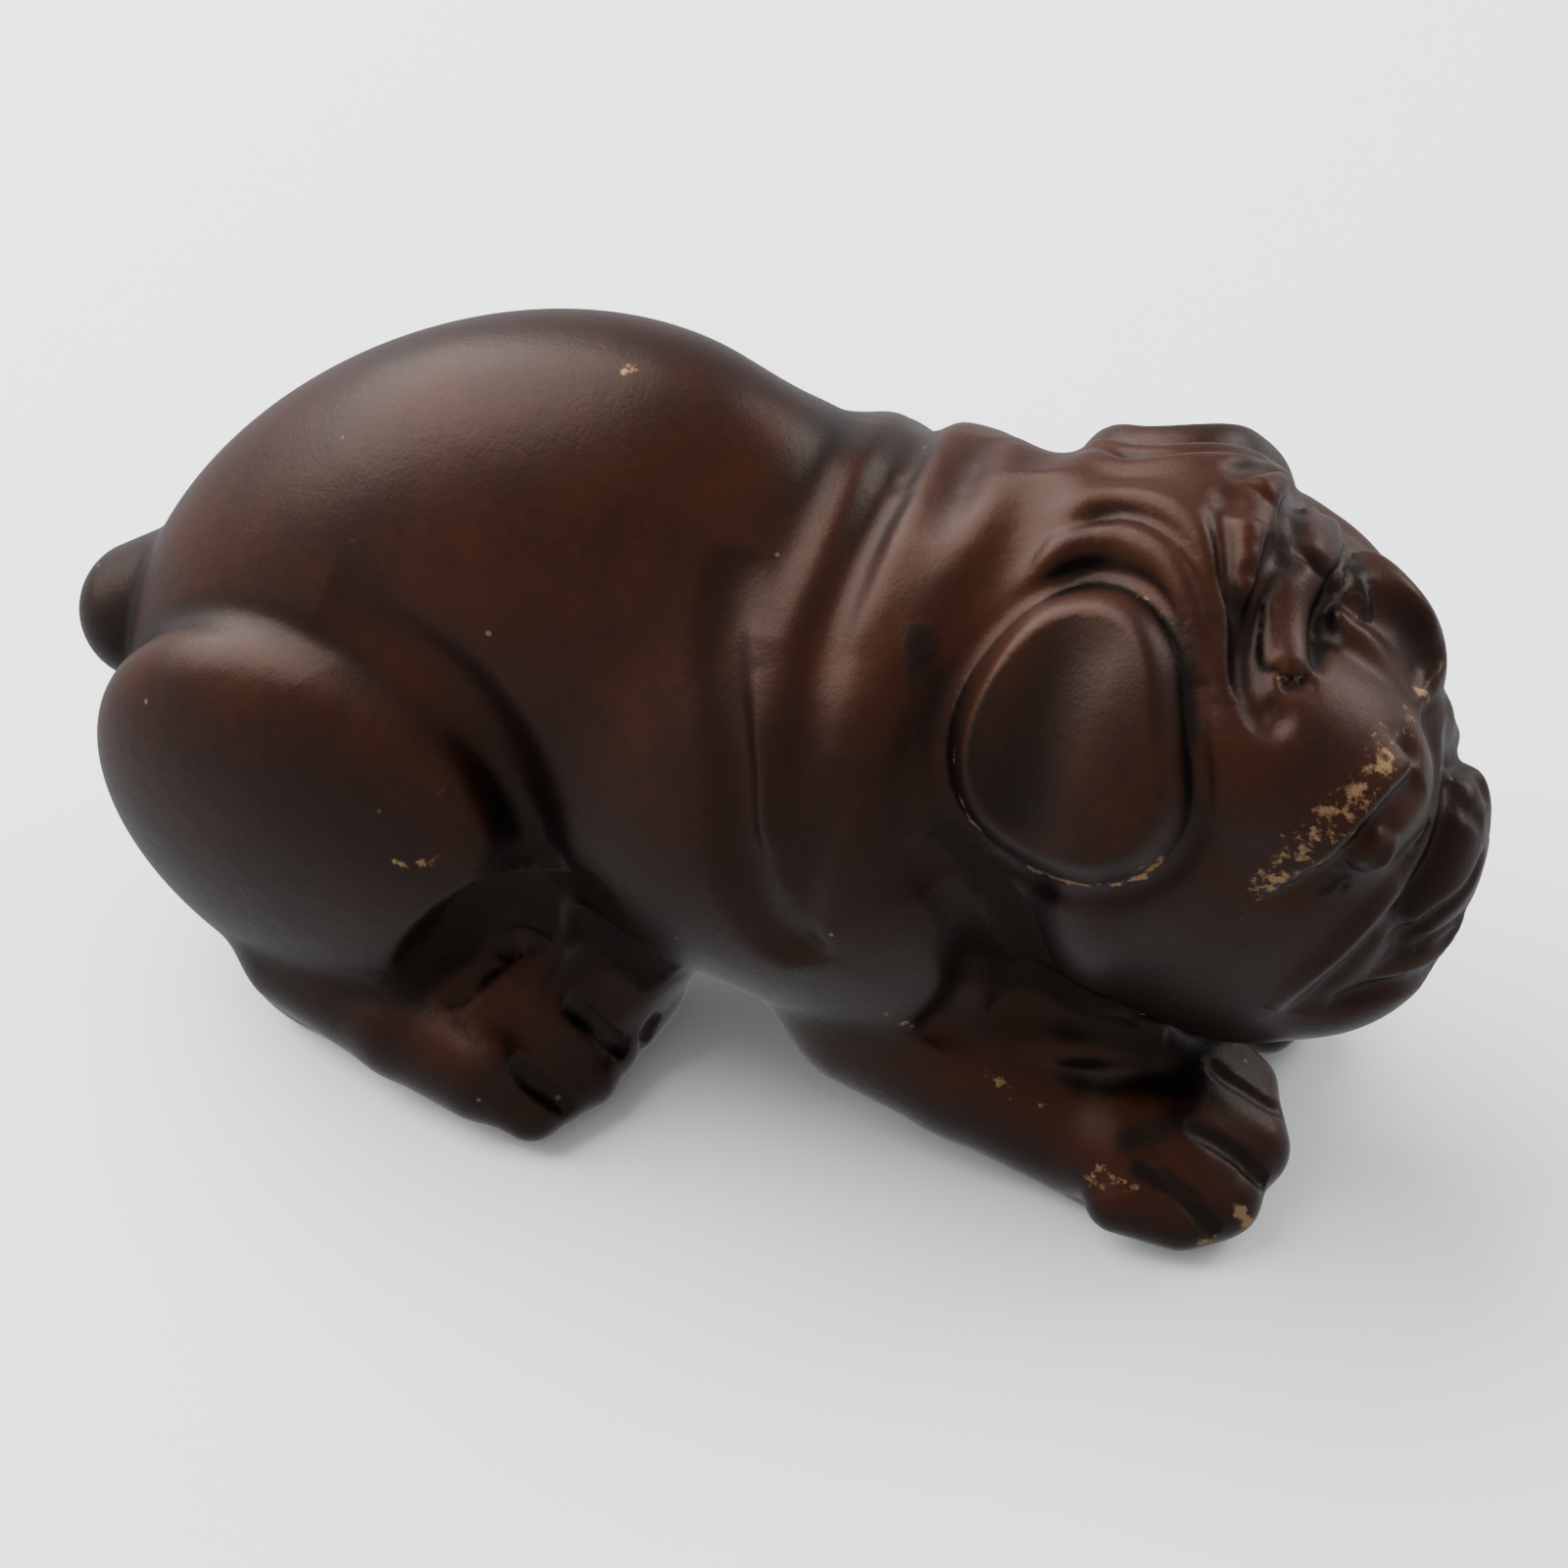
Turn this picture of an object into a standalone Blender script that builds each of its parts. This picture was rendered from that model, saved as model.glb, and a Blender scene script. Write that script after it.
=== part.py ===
"""A small cast figurine of a bulldog puppy that lies on its four feet with its head up.

The whole figure is one casting. It is modelled as a sculptor builds it: lumps of clay are laid
over each other and blended, then the skin folds, toes and features are pressed in. X runs forward
to the nose, Y to the dog's left and Z up, with the ground at Z = 0.
"""

import math

import bmesh
import bpy
import numpy as np

# Driving sizes, in metres. The form below is stated in units, each a 145th of the figure's length,
# and the finished form is then brought to these three sizes.
FIGURE_LENGTH = 0.145
FIGURE_WIDTH = 0.0625
FIGURE_HEIGHT = 0.0794

# The finish of the casting.
BRONZE_BROWN = (0.085, 0.042, 0.028, 1.0)
BRONZE_ROUGHNESS = 0.33
BRONZE_METALLIC = 0.25

# How finely the clay is meshed, in units, and how many triangles the finished solid keeps.
CLAY_GRAIN = 1.6
FINISH_GRAIN = 0.7
SOLID_TRIANGLES = 9400

# The points of the clay are moved onto the form in passes, each by no more than this many units.
# Where the form is flatter than the least steepness, the points move less.
PASSES = 4
LONGEST_MOVE = 1.5
LEAST_STEEPNESS = 0.4

# The two halves of the figure meet at the middle through a fold this soft, in units, and the
# stretches of a limb meet in joints this soft.
MIDDLE_SOFTNESS = 0.5
JOINT_SOFTNESS = 1.0

# A stepped fold presses in the skin on the left of its line, as seen from this direction, on the
# dog's right.
SEEN_FROM = (0.23, 0.707, 0.669)

# A rounded fold is felt this many of its widths away, and its depth runs out at the ends by this
# power.
FOLD_REACH = 2.6
FOLD_RUN_OUT = 0.7

# An ear raises only what lies this near its middle plane, and its groove ends within this margin,
# in units.
PAD_THICKNESS = 14.0
PAD_MARGIN = 6.0

# The paws and the hocks are flat where they stand, and rounded into the flat by this much, in
# units. Points that lie this near the ground are set on it.
GROUND = -1.2
SOLE_EDGE = 0.8
SOLE_CATCH = 0.12

# Points this close to the ground, in metres, are set exactly on it.
SOLE_FLATNESS = 0.0001


# Lumps of clay and marks in them

def turned(degrees):
    """The matrix that turns a lump about X, then Y, then Z."""
    matrix = np.eye(3)
    for axis, angle in enumerate(degrees):
        c = math.cos(math.radians(angle))
        s = math.sin(math.radians(angle))
        i, j = [(1, 2), (2, 0), (0, 1)][axis]
        step = np.eye(3)
        step[i, i] = step[j, j] = c
        step[i, j] = -s
        step[j, i] = s
        matrix = step @ matrix
    return matrix


class Ball:
    """An egg-shaped lump, or a hollow of that shape when it is cut: centre, radii and turn in degrees."""

    def __init__(self, centre, radii, turn=(0, 0, 0), blend=4.0, cut=False, side=0):
        self.centre = np.array(centre, float)
        self.radii = np.array(radii, float)
        self.matrix = turned(turn)
        self.blend = blend
        self.cut = cut
        self.side = side

    def distance(self, points):
        local = (points - self.centre) @ self.matrix
        near = np.sqrt(((local / self.radii) ** 2).sum(1)) + 1e-9
        steep = np.sqrt(((local / self.radii**2) ** 2).sum(1)) + 1e-9
        return near * (near - 1.0) / steep

    def rounds(self):
        """The balls that stand for the lump in the first rough clay."""
        return [(self.centre, self.matrix * self.radii)]


class Limb:
    """A limb through several stations, each a point and the limb's radius there."""

    def __init__(self, stations, blend=4.0, cut=False, side=0):
        self.points = np.array([s[:3] for s in stations], float)
        self.radii = np.array([s[3] for s in stations], float)
        self.blend = blend
        self.cut = cut
        self.side = side

    def distance(self, points):
        found = None
        for start, end, r0, r1 in zip(self.points, self.points[1:], self.radii, self.radii[1:]):
            along = end - start
            share = np.clip((points - start) @ along / (along @ along), 0.0, 1.0)
            away = np.linalg.norm(points - start - share[:, None] * along, axis=1)
            away -= r0 + share * (r1 - r0)
            found = away if found is None else soft_least(found, away, JOINT_SOFTNESS)
        return found

    def rounds(self):
        found = []
        for start, end, r0, r1 in zip(self.points, self.points[1:], self.radii, self.radii[1:]):
            count = 2 + int(np.linalg.norm(end - start) / min(r0, r1))
            for share in np.linspace(0.0, 1.0, count):
                radius = r0 + share * (r1 - r0)
                found.append((start + share * (end - start), np.eye(3) * radius))
        return found


def curve(points, per_span=4):
    """A smooth line through the points."""
    p = np.array(points, float)
    if len(p) < 3:
        return p
    p = np.vstack([2 * p[0] - p[1], p, 2 * p[-1] - p[-2]])
    found = []
    for a, b, c, d in zip(p, p[1:], p[2:], p[3:]):
        for t in np.arange(per_span) / per_span:
            bend = 2 * a - 5 * b + 4 * c - d
            twist = 3 * b - a - 3 * c + d
            found.append(b + 0.5 * (c - a) * t + 0.5 * bend * t * t + 0.5 * twist * t**3)
    found.append(p[-2])
    return np.array(found)


class Fold:
    """A line pressed into the skin, or raised when its depth is negative.

    A crisp fold is a sharp valley. A fold with a step presses in the skin on one side of its line
    and raises it on the other, and the step is how fast one goes over into the other.
    """

    def __init__(self, points, depth, width, ends=(0.2, 0.2), side=0, crisp=False, step=0):
        self.line = curve(points)
        self.step = step
        self.depth = depth
        self.width = width
        self.ends = ends
        self.side = side
        self.crisp = crisp

    def offset(self, points):
        """How much the fold moves the surface at each point."""
        reach = self.width * (1.0 if self.crisp else FOLD_REACH)
        low = self.line.min(0) - reach
        high = self.line.max(0) + reach
        near = np.nonzero(((points > low) & (points < high)).all(1))[0]
        if not len(near):
            return near, None
        p = points[near]
        best = np.full(len(p), 1e9)
        place = np.zeros(len(p))
        leftward = np.zeros(len(p))
        spans = len(self.line) - 1
        for i in range(spans):
            a = self.line[i]
            along = self.line[i + 1] - a
            share = np.clip((p - a) @ along / (along @ along + 1e-12), 0.0, 1.0)
            beside = p - a - share[:, None] * along
            away = np.linalg.norm(beside, axis=1)
            closer = away < best
            best[closer] = away[closer]
            left = np.cross(along, SEEN_FROM) / np.linalg.norm(along)
            leftward[closer] = (beside @ left)[closer]
            place[closer] = ((i + share) / spans)[closer]
        if self.crisp:
            shape = np.clip(1.0 - best / self.width, 0.0, 1.0)
        else:
            shape = np.exp(-((best / self.width) ** 2))
        if self.step:
            shape *= np.tanh(leftward / self.step)
        if self.ends[0]:
            shape *= np.clip(place / self.ends[0], 0.0, 1.0) ** FOLD_RUN_OUT
        if self.ends[1]:
            shape *= np.clip((1.0 - place) / self.ends[1], 0.0, 1.0) ** FOLD_RUN_OUT
        return near, self.depth * shape


class Dent:
    """A round dent, or a bump when its depth is negative."""

    def __init__(self, centre, depth, width, side=0):
        self.centre = np.array(centre, float)
        self.depth = depth
        self.width = width
        self.side = side

    def offset(self, points):
        away = points - self.centre
        near = np.nonzero((np.abs(away) < self.width * FOLD_REACH).all(1))[0]
        if not len(near):
            return near, None
        far = (away[near] ** 2).sum(1)
        return near, self.depth * np.exp(-far / self.width**2)


class Pad:
    """A raised patch: eight reaches from its centre, its height, its edge and the groove round it."""

    def __init__(self, centre, forward, outward, reaches, height, edge, groove, side=0):
        self.centre = np.array(centre, float)
        w = np.array(outward, float)
        w /= np.linalg.norm(w)
        u = np.array(forward, float)
        u -= w * (u @ w)
        u /= np.linalg.norm(u)
        v = np.cross(w, u)
        if v[2] < 0:
            v = -v
        self.matrix = np.stack([u, v, w], 1)
        self.waves = np.fft.rfft(np.array(reaches, float)) / len(reaches)
        self.reaches = reaches
        self.height = height
        self.edge = edge
        self.groove = groove
        self.side = side

    def reach(self, angle):
        n = len(self.waves) - 1
        total = np.full(angle.shape, self.waves[0].real)
        for k in range(1, n + 1):
            wave = self.waves[k]
            share = 1.0 if k == n else 2.0
            total += share * (wave.real * np.cos(k * angle) - wave.imag * np.sin(k * angle))
        return total

    def offset(self, points):
        far = max(self.reaches) + PAD_MARGIN
        near = np.nonzero((np.abs(points - self.centre) < far).all(1))[0]
        if not len(near):
            return near, None
        u, v, w = ((points[near] - self.centre) @ self.matrix).T
        across = np.hypot(u, v)
        reach = self.reach(np.arctan2(v, u))
        inside = reach - across
        share = np.clip(inside / self.edge, 0.0, 1.0)
        rise = share * (2.0 - share)
        trench = np.exp(-(((inside + self.groove[1]) / self.groove[1]) ** 2))
        amount = self.groove[0] * trench - self.height * rise
        return near, amount * (np.abs(w) < PAD_THICKNESS)


def soft_least(a, b, softness):
    """The smaller of two distances, rounded where they meet."""
    near = np.maximum(softness - np.abs(a - b), 0.0) / softness
    return np.minimum(a, b) - near * near * softness / 4.0


def soft_most(a, b, softness):
    return -soft_least(-a, -b, softness)


# The masses. Each lump stands for both sides of the dog unless it names one: Y is measured outwards
# from the middle of the body, side -1 is the dog's right and side 1 its left. Each is laid over or
# cut into those before it.

BODY = [
    # trunk
    Ball((-15.5, 0, 42.9), (43.9, 22.4, 28.2), turn=(0, -40, 0), blend=1),
    # ribs
    Ball((21.8, 0, 40.4), (33.4, 29.1, 28.1), turn=(0, -25, 0), blend=8),
    # neck
    Ball((34.6, 0, 43.9), (14, 21.1, 32.1), turn=(0, 22, 0), blend=8),
    # chest
    Ball((46.2, 0, 24), (17, 14.4, 18), turn=(0, -0, 0), blend=6),
]

HIND_LEGS = [
    # thigh
    Ball((-25.4, 17.3, 25.6), (26.3, 10.9, 26.4), turn=(-11, 17, 5), blend=3),
    # hollow behind the knee
    Ball((-3.8, 30, 20), (10, 10.5, 18.5), turn=(0, 33, 0), blend=1.2, cut=True),
    # shank
    Limb([(-30.1, 16.8, 7, 6.8), (-15.9, 22.4, 7, 7), (-7.1, 25.4, 6.1, 6.4)], blend=2.5),
    # paw
    Ball((-9, 17.6, 5.8), (7.8, 9.6, 5.8), turn=(0, 0, 12), blend=3),
    # toe D
    Limb([(3.2, 8.3, 6.6, 3.5), (4.9, 9.4, 3.8, 2.9)], blend=1.2),
    # toe A
    Limb([(2.4, 14.5, 8.2, 4.2), (3.5, 13.8, 3.6, 3.6)], blend=1.2),
    # toe B
    Limb([(-2.4, 21.6, 7.4, 4.2), (1.9, 21.6, 3.2, 3.8)], blend=1.2),
    # toe C
    Limb([(-6.2, 27.2, 4.9, 3.8), (-1.4, 27.8, 2.9, 3.3)], blend=1.2),
    # instep
    Limb([(-14, 19.6, 11.4, 5.4), (-6.6, 15.6, 10, 5.6)], blend=2.5),
    # top of the paw
    Ball((-4.2, 17, 7.4), (8.6, 9, 6.4), turn=(0, 0, 12), blend=2),
    # between toes B and C
    Limb([(-4.3, 24.6, 6.6, 4), (0.2, 24.8, 3.2, 3.5)], blend=1.5),
    # between toes A and B
    Limb([(-0.2, 18, 8, 4.2), (2.7, 17.8, 3.6, 3.7)], blend=1.5),
    # between toes D and A
    Limb([(2.4, 11.5, 7.2, 3.8), (4.1, 11.6, 3.9, 3.2)], blend=1.5),
    # outer instep
    Limb([(-15, 20.5, 7, 5.6), (-10, 20, 10, 5.8), (-5, 18.7, 11.6, 6)], blend=2.5),
    # inner thigh
    Ball((-3, 8, 15), (15, 10, 13), blend=5),
    # paw's sole
    Ball((-5, 17.4, 2), (7.5, 6.5, 4.4), blend=1),
    # hock's sole
    Ball((-24, 18.4, 3), (11, 4.4, 5.4), blend=1),
]

TAIL = [
    # tail
    Limb([(-46.5, 0, 38.1, 6.8), (-52.1, 0, 33.4, 7.4)], blend=1),
]

FORE_LEGS = [
    # shoulder
    Ball((30, 15.4, 33), (14, 9.6, 25), turn=(-7, -8, -5), blend=6),
    # forearm
    Limb([(30.2, 13.7, 14.8, 8.9), (40.5, 13.6, 10.1, 8.5), (52, 15, 5.4, 7)], blend=4),
    # front paw
    Ball((57.6, 14.3, 6.6), (7.7, 9.8, 6.6), turn=(0, 0, 6), blend=3),
    # front paw's sole
    Ball((57.5, 15, 1.8), (8.5, 6.8, 4.4), blend=1),
    # toe I
    Limb([(62.6, 5, 8.6, 3.7), (66.2, 5, 5.6, 3.5)], blend=1.2),
    # toe II
    Limb([(61.8, 12, 8.2, 4.3), (68, 11.6, 4.1, 4.5)], blend=1.2),
    # toe III
    Limb([(61.2, 17.7, 7.3, 3.9), (67.2, 18.2, 3.2, 4)], blend=1.2),
    # toe IV
    Limb([(58.2, 22.6, 4.9, 3.7), (63.8, 22.1, 3, 3.1)], blend=1.2),
    # breast
    Limb([(42, 13.5, 17, 4.5), (52, 11.5, 16.5, 4), (60.5, 8.8, 9.8, 3.4)], blend=2),
    # top of the front paw
    Ball((60.5, 13.5, 5.8), (7.5, 10, 5.6), blend=2),
    # between toes I and II
    Limb([(61.9, 8.6, 8.4, 4), (67, 8.4, 5, 3.9)], blend=1.5),
    # between toes II and III
    Limb([(61.4, 15, 7.7, 4), (67, 15, 3.6, 4)], blend=1.5),
    # between toes III and IV
    Limb([(59.8, 20.1, 6.1, 3.6), (65.4, 20.2, 3.1, 3.6)], blend=1.5),
]

HEAD = [
    # skull
    Ball((55, 0, 46.7), (13, 25.9, 26.5), turn=(0, 7, 0), blend=5),
    # forehead
    Ball((55.3, 0, 63.2), (11.6, 12.3, 12.3), turn=(0, -0, 0), blend=4),
    # cheek
    Ball((63.6, 11.1, 39.5), (16.1, 10.6, 24.1), turn=(-12, -11, -9), blend=3),
    # right brow
    Ball((67.5, 10, 56), (14.6, 12, 9.6), turn=(0, 30, -14), blend=3, side=-1),
    # left brow
    Ball((68.6, 2.8, 56.7), (11, 9.5, 10.3), turn=(0, 22, -2), blend=2.5, side=1),
    # flew
    Ball((78.8, 0, 36.1), (6.9, 8.6, 12.8), turn=(-14, 9, -5), blend=1.2),
    # jaw
    Ball((70.3, 0, 27.2), (13.6, 15.8, 9.4), turn=(0, -8, 0), blend=1.3),
    # nose
    Ball((78.3, 0, 50.4), (2.6, 6.8, 5.2), turn=(0, 0, 0), blend=0.8),
    # right eyeball
    Ball((76.3, 16.9, 52.3), (3.1, 3.1, 3.1), blend=0.4, side=-1),
    # left eyeball
    Ball((74.7, 11.4, 49.6), (2.9, 2.9, 2.9), blend=0.4, side=1),
]

CLAY = BODY + HIND_LEGS + TAIL + FORE_LEGS + HEAD

# The skin: folds, creases and dents, each with its depth and width. A depth below zero raises.

SKIN = [
    # neck groove 1
    Fold([(20, 0, 70), (20.8, 7.7, 69.3), (20.5, 13.5, 66.2), (20.2, 18.1, 62.8)],
         0.6, 3.0, ends=(0, 0.5)),
    # neck ridge 1
    Fold([(23.5, 0, 69.1), (24.1, 4.6, 69.5), (23.2, 13.8, 66), (22.9, 19.3, 62.2)],
         -0.4, 3.0, ends=(0, 0.5)),
    # neck groove 2
    Fold([(27.2, 0, 69.3), (27.3, 2.9, 69.6), (26.5, 11.4, 67.3), (25.8, 17, 64), (26.1, 22, 60),
          (26.5, 25.8, 55), (25.8, 28.1, 49), (25.1, 29.2, 41.7)],
         1.9, 2.1, ends=(0, 0.5)),
    # neck ridge 2
    Fold([(29.4, 0, 68.8), (29.7, 4.5, 69.7), (29.4, 13.7, 66.3), (28.7, 18.4, 63)],
         -0.5, 3.0, ends=(0, 0.5)),
    # neck groove 3
    Fold([(33.7, 0, 70.6), (33.7, 2.5, 70.8), (33.6, 8.3, 69.4)], 0.8, 2.8, ends=(0, 0.6)),
    # neck ridge 3
    Fold([(36.7, 0, 71.1), (37, 5.8, 71.2), (36.6, 12.3, 68.2)], -0.4, 2.8, ends=(0, 0.5)),
    # behind the head
    Fold([(40.9, 0, 73.1), (41.1, 7, 72.1), (39.9, 12.5, 68.6), (38.3, 17.6, 63.6), (37.2, 22, 57.7),
          (37.9, 25.2, 49.9), (39.9, 25.2, 42.5)],
         3.2, 3.2, ends=(0.4, 0.05)),
    # under the ear
    Fold([(38.6, 25.1, 48.8), (41.7, 24, 42), (43.6, 21.5, 34.6), (44.8, 17.6, 26), (49.5, 14.4, 21.1)],
         3.6, 3.0),
    # flank crease
    Fold([(15.9, 12.3, 67.6), (16.1, 16.4, 63.9), (16.8, 20.2, 60.1), (18.7, 23.8, 56.5),
          (20.2, 26.6, 52.2), (21, 28.5, 46.7), (22.7, 29.2, 41.1), (25, 28.8, 35.7), (27.8, 27.9, 32.6)],
         2.6, 2.1, ends=(0.35, 0.1)),
    # flank flap
    Fold([(19.6, 20.8, 60.2), (21.7, 24.9, 55.9), (22.8, 27.7, 50.2), (23.9, 28.9, 45.4)],
         -0.7, 1.6, ends=(0.3, 0.2)),
    # shoulder back edge
    Fold([(30.3, 24.9, 55.9), (28.9, 27.7, 49.5), (27.6, 28.9, 42.9), (26.9, 28.8, 36.9),
          (28, 27.9, 32.5)],
         1.5, 1.7, ends=(0.5, 0.1)),
    # shoulder edge
    Fold([(39.3, 25.4, 44.4), (42.2, 23.3, 37), (42.2, 20.8, 28.3), (39.4, 20.3, 21),
          (37.7, 21.1, 18.1)],
         2.4, 2.2, ends=(0.1, 0.2)),
    # thigh front
    Fold([(-23.2, 18.5, 57.1), (-15.5, 20.7, 55.4), (-9.4, 21.6, 51.8), (-5, 22, 45.5),
          (-2.8, 23.2, 39.1), (-2.5, 23, 31.3)],
         2.4, 3.0, ends=(0.45, 0.05)),
    # thigh hollow
    Fold([(-22.2, 23.2, 51.1), (-18.7, 26.1, 48.3), (-16.8, 28, 44.3)], 0.25, 4.0, ends=(0.4, 0.4)),
    # instep groove
    Fold([(-10.7, 26.3, 13.1), (-8.6, 24.1, 14.7), (-6.8, 21.6, 16.8), (-4.8, 20.3, 18.6),
          (-1.3, 20.2, 19.5)],
         0.8, 1.0),
    # hind knuckles
    Dent((-3.9, 29.4, 10), -0.5, 2.2),
    Dent((-0.8, 23.9, 12), -0.5, 2.2),
    Dent((3.8, 17.6, 14.1), -0.5, 2.2),
    # hind toes 1
    Fold([(0.4, 21.7, 13.3), (1.5, 21.4, 11.9), (2.6, 21, 10.6), (3.5, 20.7, 9.3), (4.3, 20.3, 7.8),
          (5, 19.7, 6.6), (5.7, 19.2, 5.4)],
         1.7, 1.4, ends=(0.25, 0.1), crisp=True),
    # hind toes 3
    Fold([(7.6, 14.3, 6.7), (7.2, 15, 6), (6.8, 15.7, 5.3), (6.7, 16, 4.5), (6.5, 16.4, 3.8)],
         1.2, 1.2, ends=(0.2, 0.2), crisp=True),
    # hind toes 2
    Fold([(-3.2, 28.3, 10.2), (-2.1, 28.3, 9), (-1.1, 28.1, 7.6), (-0.1, 27.9, 6.6), (1, 27.8, 5.7),
          (1.8, 27.7, 4.9), (2.6, 27.4, 3.8)],
         1.6, 1.4, ends=(0.25, 0.1), crisp=True),
    # forearm groove
    Fold([(42.6, 18, 20.4), (49.3, 15.4, 19.3), (54.5, 14.4, 18.4), (58.5, 11.9, 15.5)],
         1.4, 1.8, ends=(0.2, 0.3)),
    # wrist bump 1
    Dent((50, 16.1, 16.9), -0.7, 2.6),
    # wrist bump 2
    Dent((54.5, 15.2, 13.6), -0.25, 2.4),
    # wrist bump 3
    Dent((58.1, 15.5, 13.1), -0.2, 2.4),
    # forearm rim
    Fold([(49.5, 14.5, 20.7), (54.7, 13.3, 19.7), (59, 10.1, 15.8)], -0.4, 1.0),
    # front toes 1
    Fold([(63.2, 9.8, 12.6), (64.4, 9.8, 11.8), (65.7, 9.8, 10.9), (66.9, 9.6, 10.1),
          (68.2, 9.4, 9.2), (69.5, 9.2, 8.2), (70.8, 8.6, 6.9)],
         1.3, 1.1, ends=(0.2, 0.15), crisp=True),
    # front toes 2
    Fold([(62.8, 17.6, 11.6), (64.4, 17.4, 10.7), (66, 17, 9.7), (67.3, 16.8, 8.7),
          (68.5, 16.5, 7.6), (69.9, 16.7, 6.4), (71.1, 16.1, 4.3)],
         1.7, 1.3, ends=(0.35, 0.1), crisp=True),
    # front toes 3
    Fold([(60.1, 22.8, 9.5), (61.4, 22.8, 8.9), (62.7, 22.8, 8.3), (63.9, 22.8, 7.4),
          (65.2, 22.9, 6.5), (66.6, 23.1, 5.3), (67.9, 22.9, 3.8)],
         1.6, 1.3, ends=(0.35, 0.1), crisp=True),
    # knuckle hollow
    Dent((60.8, 20.7, 10.9), 0.7, 2.4),
    # ear rim
    Fold([(41.6, 12.1, 69), (44.9, 8.2, 71.6), (49.8, 6.4, 72.8), (54.9, 8.6, 72.8),
          (58, 12.2, 70.2), (60, 16.8, 66.4)],
         -1.1, 1.5),
    # ear rim groove
    Fold([(44.2, 7.1, 72.3), (49.3, 4.4, 73.5), (54.7, 6.4, 74), (58.6, 9.8, 71.8), (60.7, 13.7, 68.1)],
         0.7, 1.2),
    # ear fold
    Fold([(43.5, 6.4, 72.7), (47.8, 2.4, 73.8), (54, 3.8, 75), (58.7, 7.8, 73), (61.1, 12.4, 68.8),
          (62.6, 17.6, 65.5)],
         -0.8, 1.6),
    # forehead groove 1
    Fold([(57.6, 2.2, 75.3), (59.1, 5.3, 74.1), (60.2, 8.3, 72.1), (61.5, 10.1, 70), (63, 13, 67.6),
          (64.2, 16.5, 65.9)],
         1.3, 1.1),
    # forehead ridge 1
    Fold([(60.8, 2, 74.2), (61.6, 5.7, 72.7), (62.1, 9, 70.4), (63.1, 12.4, 67.7)],
         -1.3, 1.6, ends=(0.08, 0.5)),
    # forehead groove 2
    Fold([(63.7, 1.1, 72.2), (63.6, 4.7, 71.4), (63.3, 7.5, 70.1), (63.4, 10.4, 68.4),
          (64.2, 14.4, 66.7), (65.6, 16.9, 65.5), (66.9, 17.3, 64.9)],
         2.3, 1.2, ends=(0.1, 0.05)),
    # forehead strand
    Fold([(63.8, 6.4, 70.2), (64.3, 9.1, 68.2), (64.9, 13.2, 66.9)], -0.9, 0.7),
    # forehead pit
    Dent((67, 17.4, 64.9), 2.2, 1.5),
    # end of forehead ridge 2
    Fold([(69, 11.8, 65.9), (67.8, 13, 66.1), (66.6, 13.7, 66.4)], 0.8, 1.4, step=0.4),
    # forehead ridge 2
    Fold([(66.3, 0.6, 68.6), (66, 4.3, 68), (66.3, 8.2, 66.9), (67.4, 12.8, 66.3)],
         -1.5, 2.0, ends=(0.08, 0.05)),
    # brow groove
    Fold([(68.9, 0.2, 66.6), (68.2, 2.8, 65.9), (68.2, 5.9, 65.5), (69.3, 11.8, 65.8)],
         1.6, 0.9, ends=(0.1, 0.3)),
    # brow hollow
    Dent((68.7, 4.6, 65.1), 0.9, 1.5),
    # forehead dimple
    Dent((58.6, 0.8, 75.2), 0.9, 1.6, side=-1),
    # rough pit
    Fold([(64.4, -1.8, 71.3), (64.4, 2.1, 71.3)], 1.5, 1.7, side=-1, ends=(0, 0)),
    # furrow
    Fold([(72.9, 0, 65.4), (73.6, 0.5, 65), (76.2, 1.3, 62.3), (78.5, 0.7, 58.3)],
         3.2, 2.0, ends=(0.1, 0.1)),
    # left brow crest
    Fold([(69.4, -6, 66.4), (71.5, -6.3, 65.8), (74.2, -4.8, 65.1), (76.9, -3.6, 63),
          (78.7, -2.8, 60.1)],
         -0.7, 1.5, side=-1),
    # brow crest
    Fold([(68.9, 1.1, 66.3), (70.8, 2, 65.4), (73.1, 1.9, 64.5), (75.6, 1.8, 62.6),
          (77.5, 1.5, 60.1), (78.7, 0.8, 57.2)],
         1.0, 2.6, side=-1, ends=(0.1, 0.1), step=0.5),
    # inner corner
    Dent((78.7, 10.7, 58.6), 1.8, 1.4, side=-1),
    # brow lower edge
    Fold([(79.2, 11.2, 57.8), (79, 12.6, 57.6), (78.1, 15.1, 57.5), (76.8, 17.7, 56.5),
          (75.4, 19.4, 54.7), (73.7, 20, 52), (71.1, 20.5, 49.2), (68.6, 21.4, 47.2)],
         1.6, 2.8, ends=(0.12, 0.35), step=0.35),
    # lower lid
    Fold([(78.4, 15.8, 56), (78.9, 16.6, 54), (78.6, 18.9, 52.8), (77.4, 19.5, 51), (74.7, 18.7, 49.5)],
         0.9, 0.8),
    # pits below the eye
    Dent((74.4, 18.7, 48.8), 0.6, 0.5),
    Dent((75.3, 17.5, 47.1), 0.6, 0.5),
    # cheek fold edge
    Fold([(80.2, 1.2, 53.8), (80.8, 1.8, 49), (81.3, 5.3, 47), (80.9, 7.5, 44.4), (79.6, 9.4, 40.8),
          (78.2, 13.9, 40.2), (76, 16.2, 37.1), (73.6, 17.2, 33.8), (71, 17.1, 29.3)],
         2.6, 2.4, ends=(0.15, 0.15), step=0.35),
    # cheek fold ridge
    Fold([(80.8, 10.9, 51.4), (79.8, 7.7, 44), (78.8, 12.2, 43.4), (77.1, 15.5, 41.6),
          (74.6, 17.6, 38.6)],
         -0.6, 1.4, ends=(0.2, 0.3)),
    # flew line 1
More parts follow.
